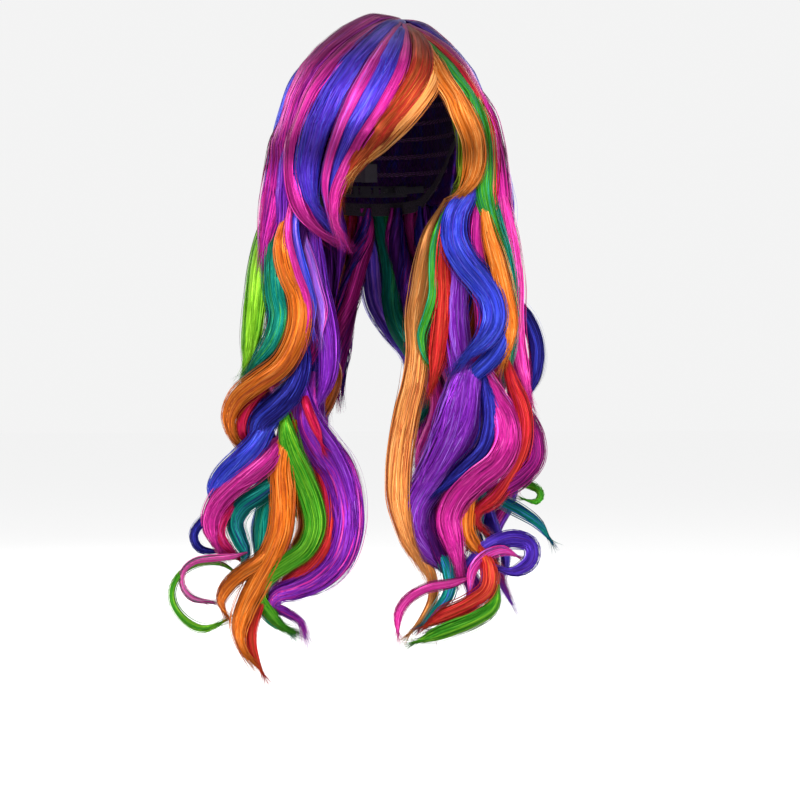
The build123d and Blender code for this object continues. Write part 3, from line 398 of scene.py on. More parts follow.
# ---------------------------------------------------------------- guides
# (name, body it hangs from, hue, second hue, loose strands, [(sx, sy, depth or None, half width)...])
# depth None follows the outside of the crown hair; depths are mm beyond the head's axis, seen from the front.
D = None
SIGHT = [
    # ---- swept over from the parting, wearer's right
    ("sweep_right_plum", "right_curtain", "magenta", "purple", 110, [
        (396, 17, D, 7), (366, 24, D, 11), (333, 46, D, 13.5), (305, 80, D, 13), (290, 120, D, 12), (281, 160, -42, 11), (274, 204, -42, 10.5), (267, 238, -45, 8.5), (262, 272, -50, 3.5)]),
    ("sweep_right_magenta", "right_curtain", "magenta", "plum", 90, [
        (398, 19, D, 3), (368, 34, D, 5), (338, 60, D, 5.6), (314, 92, D, 6), (300, 126, D, 6.2), (293, 160, -72, 5.6), (295, 190, -80, 5.4), (303, 212, -86, 5.2), (319, 231, -92, 4.2), (345, 246, -98, 2.2)]),
    ("sweep_right_blue", "right_curtain", "violet", "blue", 90, [
        (399, 20, D, 5), (377, 40, D, 9), (350, 70, D, 11), (329, 104, D, 11.5), (315, 136, -90, 11), (308, 170, -86, 9.5), (312, 202, -88, 6.5), (328, 228, -92, 3)]),
    ("fringe_thin_magenta", "fringe", "magenta", "lavender", 50, [
        (400, 22, D, 2), (385, 42, D, 2.8), (368, 70, D, 3.6), (351, 102, D, 3.8), (338, 132, -112, 3.4), (329, 160, -110, 3.0), (325, 186, -108, 2.6), (329, 210, -106, 2.2), (338, 231, -104, 1.5)]),
    ("fringe_violet", "fringe", "violet", "blue", 90, [
        (402, 24, D, 5), (393, 48, D, 8), (378, 80, D, 10.5), (360, 112, D, 10.5), (345, 140, -108, 9), (335, 166, -106, 7), (331, 192, -105, 5.5), (332, 214, -105, 4), (341, 236, -105, 2)]),
    ("fringe_magenta", "fringe", "magenta", "pink", 110, [
        (404, 24, D, 2.2), (406, 48, D, 2.8), (400, 72, D, 3.1), (386, 100, D, 3.2), (370, 126, D, 3.2), (355, 150, -114, 3.4), (343, 174, -112, 3.8), (335, 198, -111, 4.2), (335, 220, -110, 3.6), (344, 242, -109, 2)]),
    ("fringe_dark_seam", "fringe", "darkpurple", "blue", 40, [
        (405, 28, D, 3), (411, 50, D, 4), (404, 78, D, 4), (388, 104, D, 4.5), (370, 130, D, 4), (354, 154, -106, 3)]),
    ("fringe_rust", "fringe", "rust", "red", 90, [
        (409, 26, D, 4), (421, 48, D, 8), (418, 76, D, 9.5), (402, 102, D, 9.5), (384, 126, D, 8.5), (368, 147, -117, 7), (352, 168, -115, 5), (341, 190, -113, 3.5), (337, 212, -111, 2)]),
    ("fringe_orange", "fringe", "peach", "orange", 100, [
        (413, 30, D, 3.5), (428, 50, D, 5.5), (432, 74, D, 6.5), (419, 98, D, 6.5), (400, 122, D, 6), (381, 143, -119, 5), (362, 162, -117, 4), (347, 182, -115, 2.6)]),
    # ---- over to the wearer's left
    ("sweep_left_violet", "left_curtain", "violet", "plum", 110, [
        (404, 20, D, 5), (430, 32, D, 11), (452, 50, D, 13), (470, 76, D, 13), (484, 110, D, 12), (493, 146, D, 11), (499, 182, -14, 10), (504, 214, -16, 9), (508, 240, -20, 6), (512, 264, -24, 3)]),
    ("sweep_left_magenta", "left_curtain", "magenta", "plum", 90, [
        (408, 24, D, 4), (432, 42, D, 7.5), (455, 62, D, 9), (472, 88, D, 9), (485, 116, -30, 9), (494, 148, -30, 8.5), (499, 184, -30, 8), (502, 214, -32, 7.5), (506, 244, -36, 6.5), (512, 274, -38, 4)]),
    ("sweep_left_red", "left_curtain", "red", "crimson", 60, [
        (414, 28, D, 3), (438, 48, D, 5), (460, 72, D, 6), (476, 98, D, 6), (487, 128, -46, 6), (491, 156, -50, 5.5), (490.6, 182, -54, 5.5), (492, 210, -56, 4.5), (498, 234, -54, 2.5)]),
    ("sweep_left_green", "left_curtain", "green", "teal", 90, [
        (414, 30, D, 3.5), (434, 52, D, 6), (450, 72, D, 8), (466, 94, D, 8.5), (476, 118, -58, 8.5), (482, 144, -62, 8), (483.5, 170, -66, 7.5), (484, 194, -68, 7), (489, 214, -66, 6.5), (497, 234, -66, 5.5), (504, 254, -62, 3)]),
    ("sweep_left_orange", "left_curtain", "orange", "peach", 110, [
        (416, 34, D, 3.5), (430, 56, D, 6), (441, 78, D, 8), (454, 98, D, 8.5), (466, 119, -78, 9), (474, 140, -78, 9), (475.5, 161, -79, 8.5), (471, 180, -80, 7.5), (462, 193, -80, 5.5), (451, 202, -78, 3)]),
    ("sweep_left_olive", "left_curtain", "olive", "lime", 50, [
        (428, 60, D, 3), (444, 82, -79, 4.5), (456, 104, -75, 5), (464, 126, -72, 6), (467, 148, -72, 6), (465, 170, -72, 5.5), (457, 190, -70, 3)]),
    # ---- wearer's right curtain
    ("right_lime", "right_curtain", "lime", "green", 70, [
        (300, 176, 0, 4), (284, 200, -6, 7), (269, 232, -20, 9.5), (260, 268, -38, 9.5), (256, 300, -48, 9), (252, 335, -48, 8), (247, 366, -47, 5), (242, 386, -46, 2.5)]),
    ("right_teal", "right_curtain", "teal", "green", 70, [
        (302, 186, -24, 4), (288, 216, -34, 8), (277, 252, -50, 9.5), (277, 292, -60, 10.5), (281, 316, -60, 10), (274, 342, -60, 9), (256, 364, -58, 6.5), (243, 379, -56, 3)]),
    ("right_orange_waves", "right_curtain", "orange", "rust", 120, [
        (298, 196, -40, 4), (287, 226, -60, 6), (284, 250, -70, 7.5), (289, 274, -72, 8), (298, 294, -72, 8.5), (301, 316, -72, 9), (296, 340, -72, 9), (282, 365, -70, 9), (259, 382, -68, 8.5), (238, 399, -66, 7.5), (229, 419, -64, 6.5), (234, 438, -62, 5), (248, 456, -60, 2.5)]),
    ("right_thin_magenta", "right_curtain", "magenta", "pink", 30, [
        (292, 196, -66, 2.5), (288, 236, -78, 3), (297, 272, -79, 3.5), (306, 298, -79, 3.5), (308, 322, -78, 3), (300, 348, -76, 2)]),
    ("right_thin_blue", "right_curtain", "blue", "lavender", 30, [
        (300, 198, -66, 3), (295, 228, -76, 3.5), (299, 254, -77, 4), (306, 282, -76, 4), (312, 306, -74, 3.5), (312, 334, -72, 2)]),
    ("right_lavender", "right_curtain", "lavender", "pink", 45, [
        (306, 200, -62, 3), (302, 234, -66, 4), (310, 262, -67, 4.5), (316, 288, -67, 5), (322, 312, -66, 4.5), (321, 340, -64, 2.5)]),
    ("right_violet_lock", "right_curtain", "purple", "violet", 80, [
        (312, 204, -52, 5), (312, 240, -56, 7), (314, 266, -57, 8), (317, 290, -57, 8.5), (323, 314, -57, 8.5), (328, 344, -57, 8), (327, 374, -57, 7), (321, 397, -56, 5), (312, 414, -56, 2.5)]),
    ("right_navy", "right_curtain", "navy", "blue", 80, [
        (304, 332, -56, 4), (302, 362, -62, 7), (293, 388, -66, 9), (277, 406, -67, 9.5), (261, 420, -66, 8.5), (256, 436, -64, 7), (262, 450, -62, 4)]),
    ("right_crimson", "right_curtain", "crimson", "red", 50, [
        (268, 388, -58, 3.5), (252, 402, -60, 5), (243, 418, -61, 5.5), (242, 434, -60, 5), (251, 448, -58, 3)]),
    ("right_blue", "right_curtain", "blue", "violet", 90, [
        (282, 412, -60, 4), (266, 428, -64, 7), (256, 444, -65, 8.5), (240, 461, -65, 9), (224, 476, -64, 8), (214, 492, -62, 6), (214, 508, -60, 3)]),
    ("right_magenta", "right_curtain", "magenta", "pink", 100, [
        (288, 430, -52, 3), (279, 444, -58, 6.5), (269, 457, -64, 9), (254, 470, -66, 9.5), (233, 486, -65, 9), (218, 503, -64, 8), (211, 521, -62, 7), (213, 539, -60, 5), (221, 554, -58, 2.5)]),
    ("right_red_streak", "right_curtain", "crimson", "red", 36, [
        (304, 388, -62, 1.6), (306, 404, -78, 3.0), (312, 420, -83, 3.2), (318, 434, -83, 2.4), (322, 446, -80, 1.2)]),
    ("right_red_patch", "right_curtain", "crimson", "pink", 50, [
        (236, 500, -56, 4), (222, 516, -58, 6), (218, 534, -58, 6), (226, 550, -57, 5), (240, 560, -56, 2.5)]),
    ("right_navy_loop", "right_curtain", "navy", "blue", 25, [
        (228, 502, -52, 2.5), (208, 516, -53, 3.5), (194, 534, -53, 3.5), (199, 549, -53, 3.2), (220, 553, -52, 2)]),
    ("right_magenta_wisp", "right_curtain", "pink", "teal", 30, [
        (248, 552, -48, 2), (233, 556, -52, 2.8), (214, 558, -52, 3), (196, 561, -51, 2.8), (184, 571, -50, 2.3), (182, 585, -50, 2.2), (191, 598, -50, 2.8), (216, 604, -50, 2.4)]),
    ("right_green_loop", "right_curtain", "green", "lime", 30, [
        (240, 575, -40, 1.5), (222, 563, -42, 1.8), (200, 563, -44, 2), (182, 573, -45, 2.2), (173, 588, -45, 2.6), (173, 603, -45, 3), (183, 619, -45, 3.2), (200, 629, -46, 3.4), (216, 626, -47, 3), (229, 618, -48, 2)]),
    ("right_teal_low", "right_curtain", "teal", "navy", 60, [
        (296, 462, -50, 4), (278, 480, -54, 6), (260, 493, -55, 7.5), (242, 506, -56, 8), (235, 522, -56, 7.5), (240, 540, -55, 6), (246, 556, -54, 4), (240, 574, -53, 2)]),
    ("right_orange_fall", "right_curtain", "orange", "rust", 110, [
        (296, 420, -58, 5), (286, 446, -65, 8), (282, 468, -67, 9.5), (283, 492, -67, 10), (283.5, 512, -67, 10), (281, 533, -66, 10), (272, 556, -66, 9.5), (258, 582, -65, 9), (245, 608, -64, 8), (239, 630, -63, 6.5), (243, 650, -62, 4.5), (255, 667, -60, 2)]),
    ("right_orange_fall_two", "right_curtain", "orange", "rust", 60, [
        (284, 518, -60, 4), (276, 540, -63, 6), (264, 558, -64, 6.5), (244, 572, -63, 6), (228, 587, -62, 5.5), (221, 602, -61, 4.5), (226, 616, -60, 2)]),
    ("right_green_small", "right_curtain", "green", "lime", 40, [
        (276, 392, -66, 4), (281, 412, -70, 5.5), (289, 435, -72, 6), (297, 460, -72, 5), (302, 484, -70, 2.5)]),
    ("right_green", "right_curtain", "green", "lime", 90, [
        (285, 404, -66, 2.4), (285, 426, -72, 5.4), (291, 452, -73, 8), (302, 478, -72, 8.5), (312, 505, -72, 8.5), (315, 527, -71, 8), (306, 548, -70, 7), (287, 562, -68, 6), (268, 576, -66, 5.5), (259, 594, -64, 5), (270, 614, -63, 5.5), (284, 629, -62, 4.5), (301, 635, -60, 2)]),
    ("right_red", "right_curtain", "red", "crimson", 60, [
        (304, 388, -52, 4), (309, 420, -56, 6.5), (318, 455, -58, 7.5), (327, 490, -58, 8), (329, 515, -59, 9), (325, 540, -61, 10), (311, 561, -61, 10.5), (294, 575, -60, 7.5), (278, 584, -58, 3)]),
    ("right_purple", "right_curtain", "purple", "pink", 150, [
        (314, 372, -50, 5), (308, 400, -56, 9), (309, 424, -60, 12), (322, 448, -62, 14), (337, 470, -63, 14.5), (346, 497, -63, 14), (347, 530, -63, 13.5), (338, 558, -62, 12.5), (320, 577, -61, 10.5), (298, 588, -60, 8), (279, 594, -60, 6), (272, 604, -60, 5), (286, 613, -60, 4.5), (301, 623, -60, 3.5), (306, 640, -60, 1.8)]),
    ("right_purple_small", "right_curtain", "purple", "lavender", 60, [
        (298, 356, -60, 2), (301, 378, -66, 4), (306, 402, -72, 4.6), (318, 426, -76, 4.8), (333, 448, -78, 4.6), (345, 472, -78, 4), (352, 498, -77, 3), (355, 524, -76, 1.6)]),
    ("right_teal_inner", "right_curtain", "teal", "green", 50, [
        (282, 476, -42, 3), (273, 490, -47, 5.5), (266, 508, -49, 7), (263, 526, -49, 7.5), (261, 544, -48, 6), (255, 560, -47, 2.6)]),
    ("right_low_tip", "right_curtain", "red", "rust", 40, [
        (268, 590, -54, 4), (256, 612, -56, 5.5), (251, 634, -56, 5), (254, 654, -56, 4), (263, 675, -55, 1.8)]),
    # ---- wearer's left curtain
    ("left_blue_wave", "left_curtain", "blue", "violet", 130, [
        (478, 172, -66, 4), (467, 196, -74, 7), (456, 214, -77, 9), (454, 238, -78, 10.5), (464, 260, -78, 11), (480, 280, -77, 11), (491, 300, -76, 10.5), (493, 321, -75, 10), (484, 340, -74, 8), (468, 355, -72, 5.5), (456, 368, -70, 2.5)]),
    ("left_blue_two", "left_curtain", "blue", "navy", 60, [
        (494, 276, -56, 4), (501, 304, -60, 6), (504, 328, -61, 7), (499, 347, -61, 7), (486, 364, -61, 6.5), (468, 381, -60, 5), (458, 396, -58, 2.5)]),
    ("left_red_inner", "left_curtain", "red", "rust", 80, [
        (456, 200, -56, 4), (446, 230, -60, 6.5), (442.8, 262, -62, 7.5), (443, 292, -62, 8), (441, 322, -62, 8), (438, 350, -61, 7), (434, 376, -60, 5), (429, 396, -58, 2.5)]),
    ("left_green_thin", "left_curtain", "green", "teal", 40, [
        (446, 208, -58, 3), (435, 240, -64, 4), (433, 268, -66, 4.5), (433, 294, -66, 4.5), (427, 316, -66, 4.5), (421, 334, -66, 4), (423, 352, -66, 3.5), (431, 370, -64, 2)]),
    ("left_orange_inner", "left_curtain", "peach", "rust", 110, [
        (446, 200, -44, 4), (432, 230, -48, 6.5), (425, 260, -50, 8), (420, 292, -50, 8.5), (416, 320, -52, 8.5), (417, 350, -54, 8.5), (413, 382, -58, 9), (406, 412, -62, 9.5), (401, 440, -66, 9.5), (398, 468, -70, 9.5), (398, 496, -73, 9), (402, 520, -74, 8), (408, 542, -73, 7), (418, 561, -72, 5), (428, 579, -70, 2.5)]),
    ("left_magenta_inner", "left_curtain", "magenta", "plum", 70, [
        (484, 176, -56, 4), (480, 204, -62, 6), (478, 238, -64, 7), (481, 270, -64, 7.5), (486, 300, -63, 7.5), (486, 328, -62, 6.5), (478, 352, -60, 4), (468, 368, -58, 2)]),
    ("left_purple_mid", "left_curtain", "purple", "lavender", 80, [
        (468, 216, -50, 5), (461, 252, -56, 8), (457, 286, -58, 9), (456, 316, -58, 9.5), (459, 346, -58, 9.5), (463, 374, -58, 9), (462, 402, -57, 7), (456, 424, -56, 4)]),
    ("left_orange_outer", "left_curtain", "orange", "peach", 70, [
        (486, 180, -58, 1.6), (485, 206, -68, 2.8), (489, 232, -70, 4.8), (497, 262, -71, 7.4), (505, 298, -67, 8), (510, 322, -65, 7), (509, 346, -63, 4), (502, 366, -61, 2)]),
    ("left_teal", "left_curtain", "teal", "green", 60, [
        (492, 190, -48, 4), (497, 224, -52, 5.5), (504, 252, -53, 6), (509, 284, -52, 6.5), (509, 320, -51, 6.5), (508, 354, -50, 6), (506, 382, -48, 3)]),
    ("left_pink_outer", "left_curtain", "pink", "magenta", 80, [
        (498, 176, -30, 4), (505, 214, -34, 6), (511, 250, -35, 7), (515, 284, -35, 7.5), (515, 318, -35, 7.5), (518, 350, -36, 7), (525, 382, -38, 6), (532, 410, -40, 3)]),
    ("left_navy_loop", "left_curtain", "navy", "blue", 50, [
        (501, 252, -4, 1.4), (505, 276, -8, 2.6), (514, 300, -13, 4.8), (528, 321, -16, 6.3), (536, 345, -16, 6.5), (535, 370, -17, 6), (529, 390, -18, 4.5), (518, 404, -20, 2)]),
    ("left_pink_low", "left_curtain", "pink", "lavender", 60, [
        (474, 352, -58, 4), (482, 372, -62, 6), (494, 391, -64, 7), (506, 410, -65, 7), (513, 430, -64, 5), (514, 450, -62, 2.5)]),
    ("left_red_low", "left_curtain", "red", "crimson", 70, [
        (504, 352, -54, 3.5), (512, 380, -58, 5), (522, 406, -60, 6), (525, 430, -60, 6), (520, 454, -60, 6), (508, 478, -60, 5.5), (494, 499, -60, 5), (478, 511, -60, 4.5), (477, 523, -60, 4), (489, 535, -58, 2)]),
    ("left_purple", "left_curtain", "purple", "lavender", 190, [
        (474, 350, -54, 6), (467, 378, -60, 14), (463, 406, -62, 19), (456, 432, -63, 19), (443, 459, -63, 16), (428, 484, -62, 13), (416, 506, -62, 11), (414, 530, -61, 10), (426, 550, -60, 8.5), (442, 566, -59, 5), (458, 576, -58, 2.5)]),
    ("left_navy", "left_curtain", "navy", "blue", 70, [
        (484, 376, -66, 4), (490, 406, -70, 6.5), (490, 430, -71, 7), (483, 450, -72, 7), (466, 468, -72, 6.5), (449, 482, -71, 4.5), (436, 494, -70, 2)]),
    ("left_magenta", "left_curtain", "magenta", "pink", 130, [
        (482, 366, -60, 5), (493, 396, -66, 8), (504, 420, -69, 10), (505, 442, -70, 11), (495, 463, -70, 11), (475, 479, -70, 10.5), (457, 497, -69, 10), (449, 517, -68, 10), (453, 540, -67, 9), (458, 560, -66, 6.5), (460, 580, -64, 3)]),
    ("left_magenta_outer", "left_curtain", "plum", "magenta", 80, [
        (508, 384, -40, 4), (521, 412, -46, 7), (533, 436, -50, 7.5), (535, 458, -52, 7), (520, 477, -54, 6.5), (494, 494, -55, 5), (476, 506, -54, 2.5)]),
    ("left_orange_small", "left_curtain", "orange", "rust", 45, [
        (474, 484, -60, 3.5), (467, 508, -64, 6), (467, 532, -64, 6), (478, 550, -62, 4), (492, 562, -60, 2)]),
    ("left_green_loop", "left_curtain", "green", "lime", 25, [
        (500, 474, -44, 2), (516, 481, -45, 3), (532, 486, -45, 3.5), (541, 494, -45, 3.2), (536, 502, -45, 2.6), (524, 499, -45, 1.6)]),
    ("left_teal_low", "left_curtain", "teal", "blue", 35, [
        (484, 488, -46, 3), (503, 501, -47, 4.5), (523, 512, -47, 4.5), (539, 524, -46, 3.5), (551, 541, -45, 1.6)]),
    ("left_violet_curl", "left_curtain", "violet", "darkpurple", 60, [
        (458, 578, -58, 3), (470, 564, -60, 4.5), (489, 547, -61, 5.5), (512, 539, -60, 6), (531, 546, -58, 5.5), (530, 561, -55, 5), (513, 571, -53, 4), (494, 567, -52, 2)]),
    ("left_pink_curl", "left_curtain", "pink", "lavender", 35, [
        (470, 592, -66, 2.5), (472, 572, -67, 3.5), (485, 557, -68, 4), (503, 551, -67, 3.5), (518, 557, -66, 2)]),
    ("left_red_bottom", "left_curtain", "red", "orange", 60, [
        (478, 544, -62, 3.5), (489, 566, -64, 5.5), (487, 589, -64, 6), (468, 603, -64, 5.5), (440, 616, -62, 5), (423, 627, -61, 2.2)]),
    ("left_green_bottom", "left_curtain", "green", "lime", 60, [
        (498, 584, -60, 3), (492, 606, -61, 5.5), (475, 618, -61, 6), (453, 627, -61, 6), (430, 636, -61, 4.5), (414, 642, -60, 2)]),
    ("left_pink_wisp", "left_curtain", "pink", "magenta", 30, [
        (470, 577, -56, 2.5), (450, 583, -58, 3.5), (427, 587, -59, 3.8), (407, 599, -60, 3.8), (398, 615, -60, 3.4), (398, 636, -59, 1.6)]),
    ("left_low_violet", "left_curtain", "purple", "magenta", 50, [
        (446, 540, -50, 4), (462, 566, -52, 6), (474, 590, -53, 6.5), (466, 610, -54, 5.5), (448, 624, -54, 4), (430, 630, -54, 2)]),
    ("left_low_teal", "left_curtain", "teal", "blue", 40, [
        (436, 546, -58, 4), (448, 570, -60, 5.5), (449, 592, -61, 5.5), (436, 610, -61, 4), (420, 626, -60, 2)]),
    ("left_low_orange", "left_curtain", "peach", "orange", 40, [
        (422, 552, -60, 3.5), (431, 574, -53, 4.5), (433, 597, -49, 4.5), (423, 618, -51, 3.5), (408, 634, -53, 1.8)]),
    ("right_low_teal", "right_curtain", "teal", "green", 40, [
        (262, 560, -58, 4), (256, 584, -60, 5.5), (262, 606, -60, 5.5), (276, 624, -60, 4), (290, 634, -59, 2)]),
    ("left_plum_inner", "left_curtain", "darkpurple", "plum", 60, [
        (442, 466, -48, 4), (434, 490, -51, 7), (430, 515, -53, 9), (434, 540, -54, 9.5), (443, 562, -55, 8), (452, 582, -56, 3)]),
    ("left_low_tip", "left_curtain", "magenta", "red", 35, [
        (470, 608, -53, 3.5), (459, 617, -54, 4.2), (449, 624, -54, 3.6), (440, 630, -53, 1.8)]),
]


STEP = 3.6
RNG = np.random.default_rng(626)


# stripes that lie on top of the hair beside them, mm
LIFT = {"fringe_thin_magenta": 5.6, "fringe_magenta": 4.2, "sweep_right_magenta": 2.0, "sweep_left_red": 3.0, "fringe_dark_seam": -2.0}

# locks that are duller or brighter as a whole
TONE = {"fringe_rust": 0.84, "sweep_left_orange": 0.92, "fringe_orange": 0.95, "sweep_right_blue": 0.9, "fringe_violet": 0.95}

# locks whose roots come out from under other locks, darkened there as painted shade
ROOT_PAINTED_SHADE = {"left_orange_inner": 0.5, "left_red_inner": 0.7, "left_purple_mid": 0.7, "right_violet_lock": 0.7, "right_lime": 0.6, "right_teal": 0.55}


def sight_lock(name, body, hue, second, strands, rows):
    rng = np.random.default_rng(abs(hash_name(name)))
    lift = LIFT.get(name, 0.0)
    raw = []
    for sx, sy, d, w in rows:
        on = d is None
        dd = dome_depth(sx, sy, sink=1.5 - lift)[0] if on else d - lift * 0.6
        raw.append([sx, sy, dd, w, 1.0 if on else 0.0])
    raw = np.array(raw)
    place = np.column_stack([row_of(raw[:, 0], raw[:, 1], raw[:, 2]), raw[:, 3], raw[:, 4], raw[:, 0], raw[:, 1]])
    Q, s = spline(place, STEP)
    P, hw, on = Q[:, :3].copy(), np.clip(Q[:, 3], 1.2, 40) * UNIT, np.clip(Q[:, 4], 0, 1)
    hw = hw * (1.12 + 0.22 * on) * np.where(hw.max() > 6, 1.0, 0.9)
    # hold the crown part of the lock on the hair's surface
    r = np.hypot(P[:, 0], P[:, 1] / HAIR_DEEP)
    want = np.maximum(hair_r(P[:, 2]) - 1.5 + lift, 1.0)
    scale = np.where(r > 20, want / np.maximum(r, 1e-3), 1.0)
    k = on * np.clip((40 - P[:, 2]) / 30, 0, 1) * (r > 20)
    P[:, :2] *= (1 + (scale - 1) * k)[:, None]
    radial = dome_normal(P)
    hint = unit(radial * (0.35 + 0.65 * on)[:, None] + TO_VIEW * (0.65 * (1 - on))[:, None])
    # free curls turn in depth as well as sideways, like a loose spiral
    side = unit(np.cross(VIEW_DIR, [0, 0, 1.0]))
    slope = smooth((np.gradient(P, axis=0) @ side) / STEP, 6)
    free = np.clip((-175 - P[:, 2]) / 60, 0, 1) * (1 - on)
    P += VIEW_DIR * (np.clip(slope, -1, 1) * 9.0 * free)[:, None]
    th = np.minimum(hw * (0.55 + 0.20 * free), 12) * 1.0
    th = np.where(on > 0.5, np.minimum(th, 6.5), th)
    w = taper(s, 0.12, 0.22)
    if rows[0][2] is None:
        w = taper(s, 0.10, 0.22, 0.85)
        th = th * np.clip(0.28 + s / 30.0, 0.28, 1)  # roots lie flat along the parting
    # painted highlights on the bulges of the waves and a painted sheen band over the brow of the head, darker at the
    # roots and tips
    bulge_highlight = 0.66 + 0.62 * (1 - np.clip(abs(slope) * 1.5, 0, 1))
    brow_sheen = 0.27 + 1.06 * np.exp(-((P[:, 2] + 86) / 33.0) ** 2)
    f = s / s[-1]
    painted_light_and_tone = np.where(P[:, 2] > -150, brow_sheen, bulge_highlight) * TONE.get(name, 1.0)
    painted_light_and_tone = painted_light_and_tone * (ROOT_PAINTED_SHADE.get(name, 1.0) + (1 - ROOT_PAINTED_SHADE.get(name, 1.0)) * np.clip(f / 0.55, 0, 1))
    painted_light_and_tone = smooth(painted_light_and_tone, 12) * (0.62 + 0.38 * np.clip(f / 0.12, 0, 1)) * (0.70 + 0.30 * np.clip((1 - f) / 0.14, 0, 1))
    parts = [lock_parts(P, s, hw * np.maximum(w, 0.12), th * np.maximum(w, 0.14), hint, rng, int(strands * 1.35),
                        around=52 if hw.max() > 9 else 40 if hw.max() > 5 else 24, painted_light_and_tone=painted_light_and_tone)]
    o = join_parts(name, parts, hair_material(hue, second))
    return o


def hash_name(name):
    h = 7
    for ch in name:
        h = (h * 131 + ord(ch)) % 1000003
    return h


def hang(o, body):
    """Fringe and curtain locks get their place baked into the mesh; a lock for any other body is attached to it."""
    if body == "fringe":
        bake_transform(o)
    elif body in ("right_curtain", "left_curtain"):
        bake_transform(o)
    else:
        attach(o, body)
    made.append(o)


for name, body, hue, second, strands, rows in SIGHT:
    hang(sight_lock(name, body, hue, second, strands, rows), body)


# ---------------------------------------------------------------- hair behind and underneath
def row_lock(name, body, hue, second, strands, points, widths, deep=0.62, end=0.22, root=0.5, start=0.03, tip=14.0, painted_shade=1.0):
    """A lock given in the row frame, its flat side turned outwards."""
    rng = np.random.default_rng(hash_name(name))
    Q, s = spline(np.column_stack([points, widths]), 4.6)
    P, hw = Q[:, :3], np.clip(Q[:, 3], 1.5, 40)
    hint = dome_normal(P)
    w = taper(s, start, end, root)
    th = np.minimum(hw * deep, 11)
    th = np.where(P[:, 2] > -170, np.minimum(th, 6.5), th)
    turn = abs(smooth(np.gradient(P[:, 0] - P[:, 1]) / np.gradient(s), 6))
    # painted sheen band over the brow of the head and painted highlights where the lock hangs straight, darker towards
    # the tip
    painted_light_and_tone = np.where(P[:, 2] > -150, 0.36 + 0.92 * np.exp(-((P[:, 2] + 80) / 40.0) ** 2), 0.68 + 0.55 * (1 - np.clip(turn * 1.6, 0, 1)))
    painted_light_and_tone = smooth(painted_light_and_tone, 12) * (0.70 + 0.30 * np.clip((1 - s / s[-1]) / 0.14, 0, 1)) * painted_shade
    parts = [lock_parts(P, s, hw * np.maximum(w, 0.12), th * np.maximum(w, 0.14), hint, rng, strands,
                        around=40 if strands > 60 else 28, tip=tip, painted_light_and_tone=painted_light_and_tone)]
    return join_parts(name, parts, hair_material(hue, second))


BACK_HUES = [
    ("magenta", "plum"), ("purple", "violet"), ("blue", "violet"), ("teal", "green"), ("magenta", "pink"), ("violet", "blue"), ("orange", "rust"),
    ("purple", "magenta"), ("blue", "navy"), ("magenta", "purple"), ("violet", "lavender"), ("red", "magenta"), ("purple", "plum"), ("blue", "teal"),
    ("magenta", "violet"), ("green", "lime"), ("plum", "purple"), ("violet", "navy"), ("orange", "peach"), ("blue", "violet"),
]


def back_path(a, side, k, length, rng, sink=1.5, low_from=12.0, inner=0.0):
    """From the parting down the back of the head, then round to one shoulder. a is the bearing, 90 straight back."""
    ar = math.radians(a)
    pts, wid = [], []
    for z, out in ((11.4, 3), (10.6, 10), (8.6, 20), (3, 35), (-9, 51), (-30, 74), (-55, 92), (-85, 103), (-115, 111), (-145, 117), (-175, 120)):
        if z > low_from:
            continue
        sway = math.radians(2.0 * side * math.sin((9 - z) / 60) + 1.3 * math.sin((9 - z) / 34 + 0.9 * k))
        r = float(out - sink * min(1.0, out / 60))
        pts.append((12 * min(1.0, max(0.0, 1 - (9 - z) / 60)) + r * math.cos(ar + sway), r * HAIR_DEEP * math.sin(ar + sway), z - max(sink, 0) * 0.4))
        wid.append(min(2.2 + 0.125 * r, 12.0) if k % 2 else min(2.0 + 0.14 * r, 13.0))
    # how far round from straight back, 0 at the middle and 1 at the side
    u = min(1.22, abs(a - 90) / 82)
    x0, y0, _ = pts[-1]
    ring = (5.0 if k % 2 else -4.0) - inner
    tx = side * (54 + 62 * u)
    ty = 94 - 86 * u
    phase = 0.42 * k * side + rng.uniform(-0.25, 0.25)
    span = 138 + 8 * math.sin(1.7 * k)
    z = -200.0
    while z > -length - 1:
        f = min(1.0, (-z - 175) / 260)
        e = f * f * (3 - 2 * f)
        grow = min(1.0, (-z - 185) / 170) * (1 + 0.25 * max(0.0, (-z - 420) / 160))
        wave = 12.5 * grow * math.sin((-z - 200) / span * 6.283 + phase)
        turn = 9.5 * grow * math.cos((-z - 200) / span * 6.283 + phase)
        cx, cy = x0 + (tx - x0) * e, y0 + (ty - y0) * e
        away = np.array([cx, cy]) / max(1e-3, math.hypot(cx, cy))
        along = np.array([-away[1], away[0]])
        q = np.array([cx, cy]) + along * wave + away * (turn + ring * e)
        pts.append((q[0], q[1], z))
        wid.append(11.5 - 2.0 * f)
        z -= 27
    return np.array(pts), np.array(wid)


BACK = []
bearings = [-36, -24, -13, -3, 7, 17, 27, 37, 47, 57, 67, 77, 86, 94, 103, 113, 123, 133, 143, 153, 163, 173, 184, 195, 206]
for k, a in enumerate(bearings):
    side = 1 if a < 90 else -1
    word = "left" if side > 0 else "right"
    u = min(1.0, abs(a - 90) / 82)
    k = k - 2
    rng = np.random.default_rng(42 + k)
    hue, second = BACK_HUES[k % len(BACK_HUES)]
    far = a > 180 or a < -20
    if a == 206:
        hue, second = "darkpurple", "navy"
    if a == -36:
        hue, second = "violet", "plum"
    pts, wid = back_path(a, side, k, 290 if far else 410 + 190 * u + 22 * math.sin(2.3 * k), rng, sink=14.0 if a in (206, -36) else 7.0 if far else 1.5, inner=20.0 if far else 0.0)
    o = row_lock(f"back_{word}_{k + 2:02d}_{hue}", word + "_curtain", hue, second, 170, pts, wid, end=0.15, tip=22)
    hang(o, word + "_curtain")
    BACK.append(o)

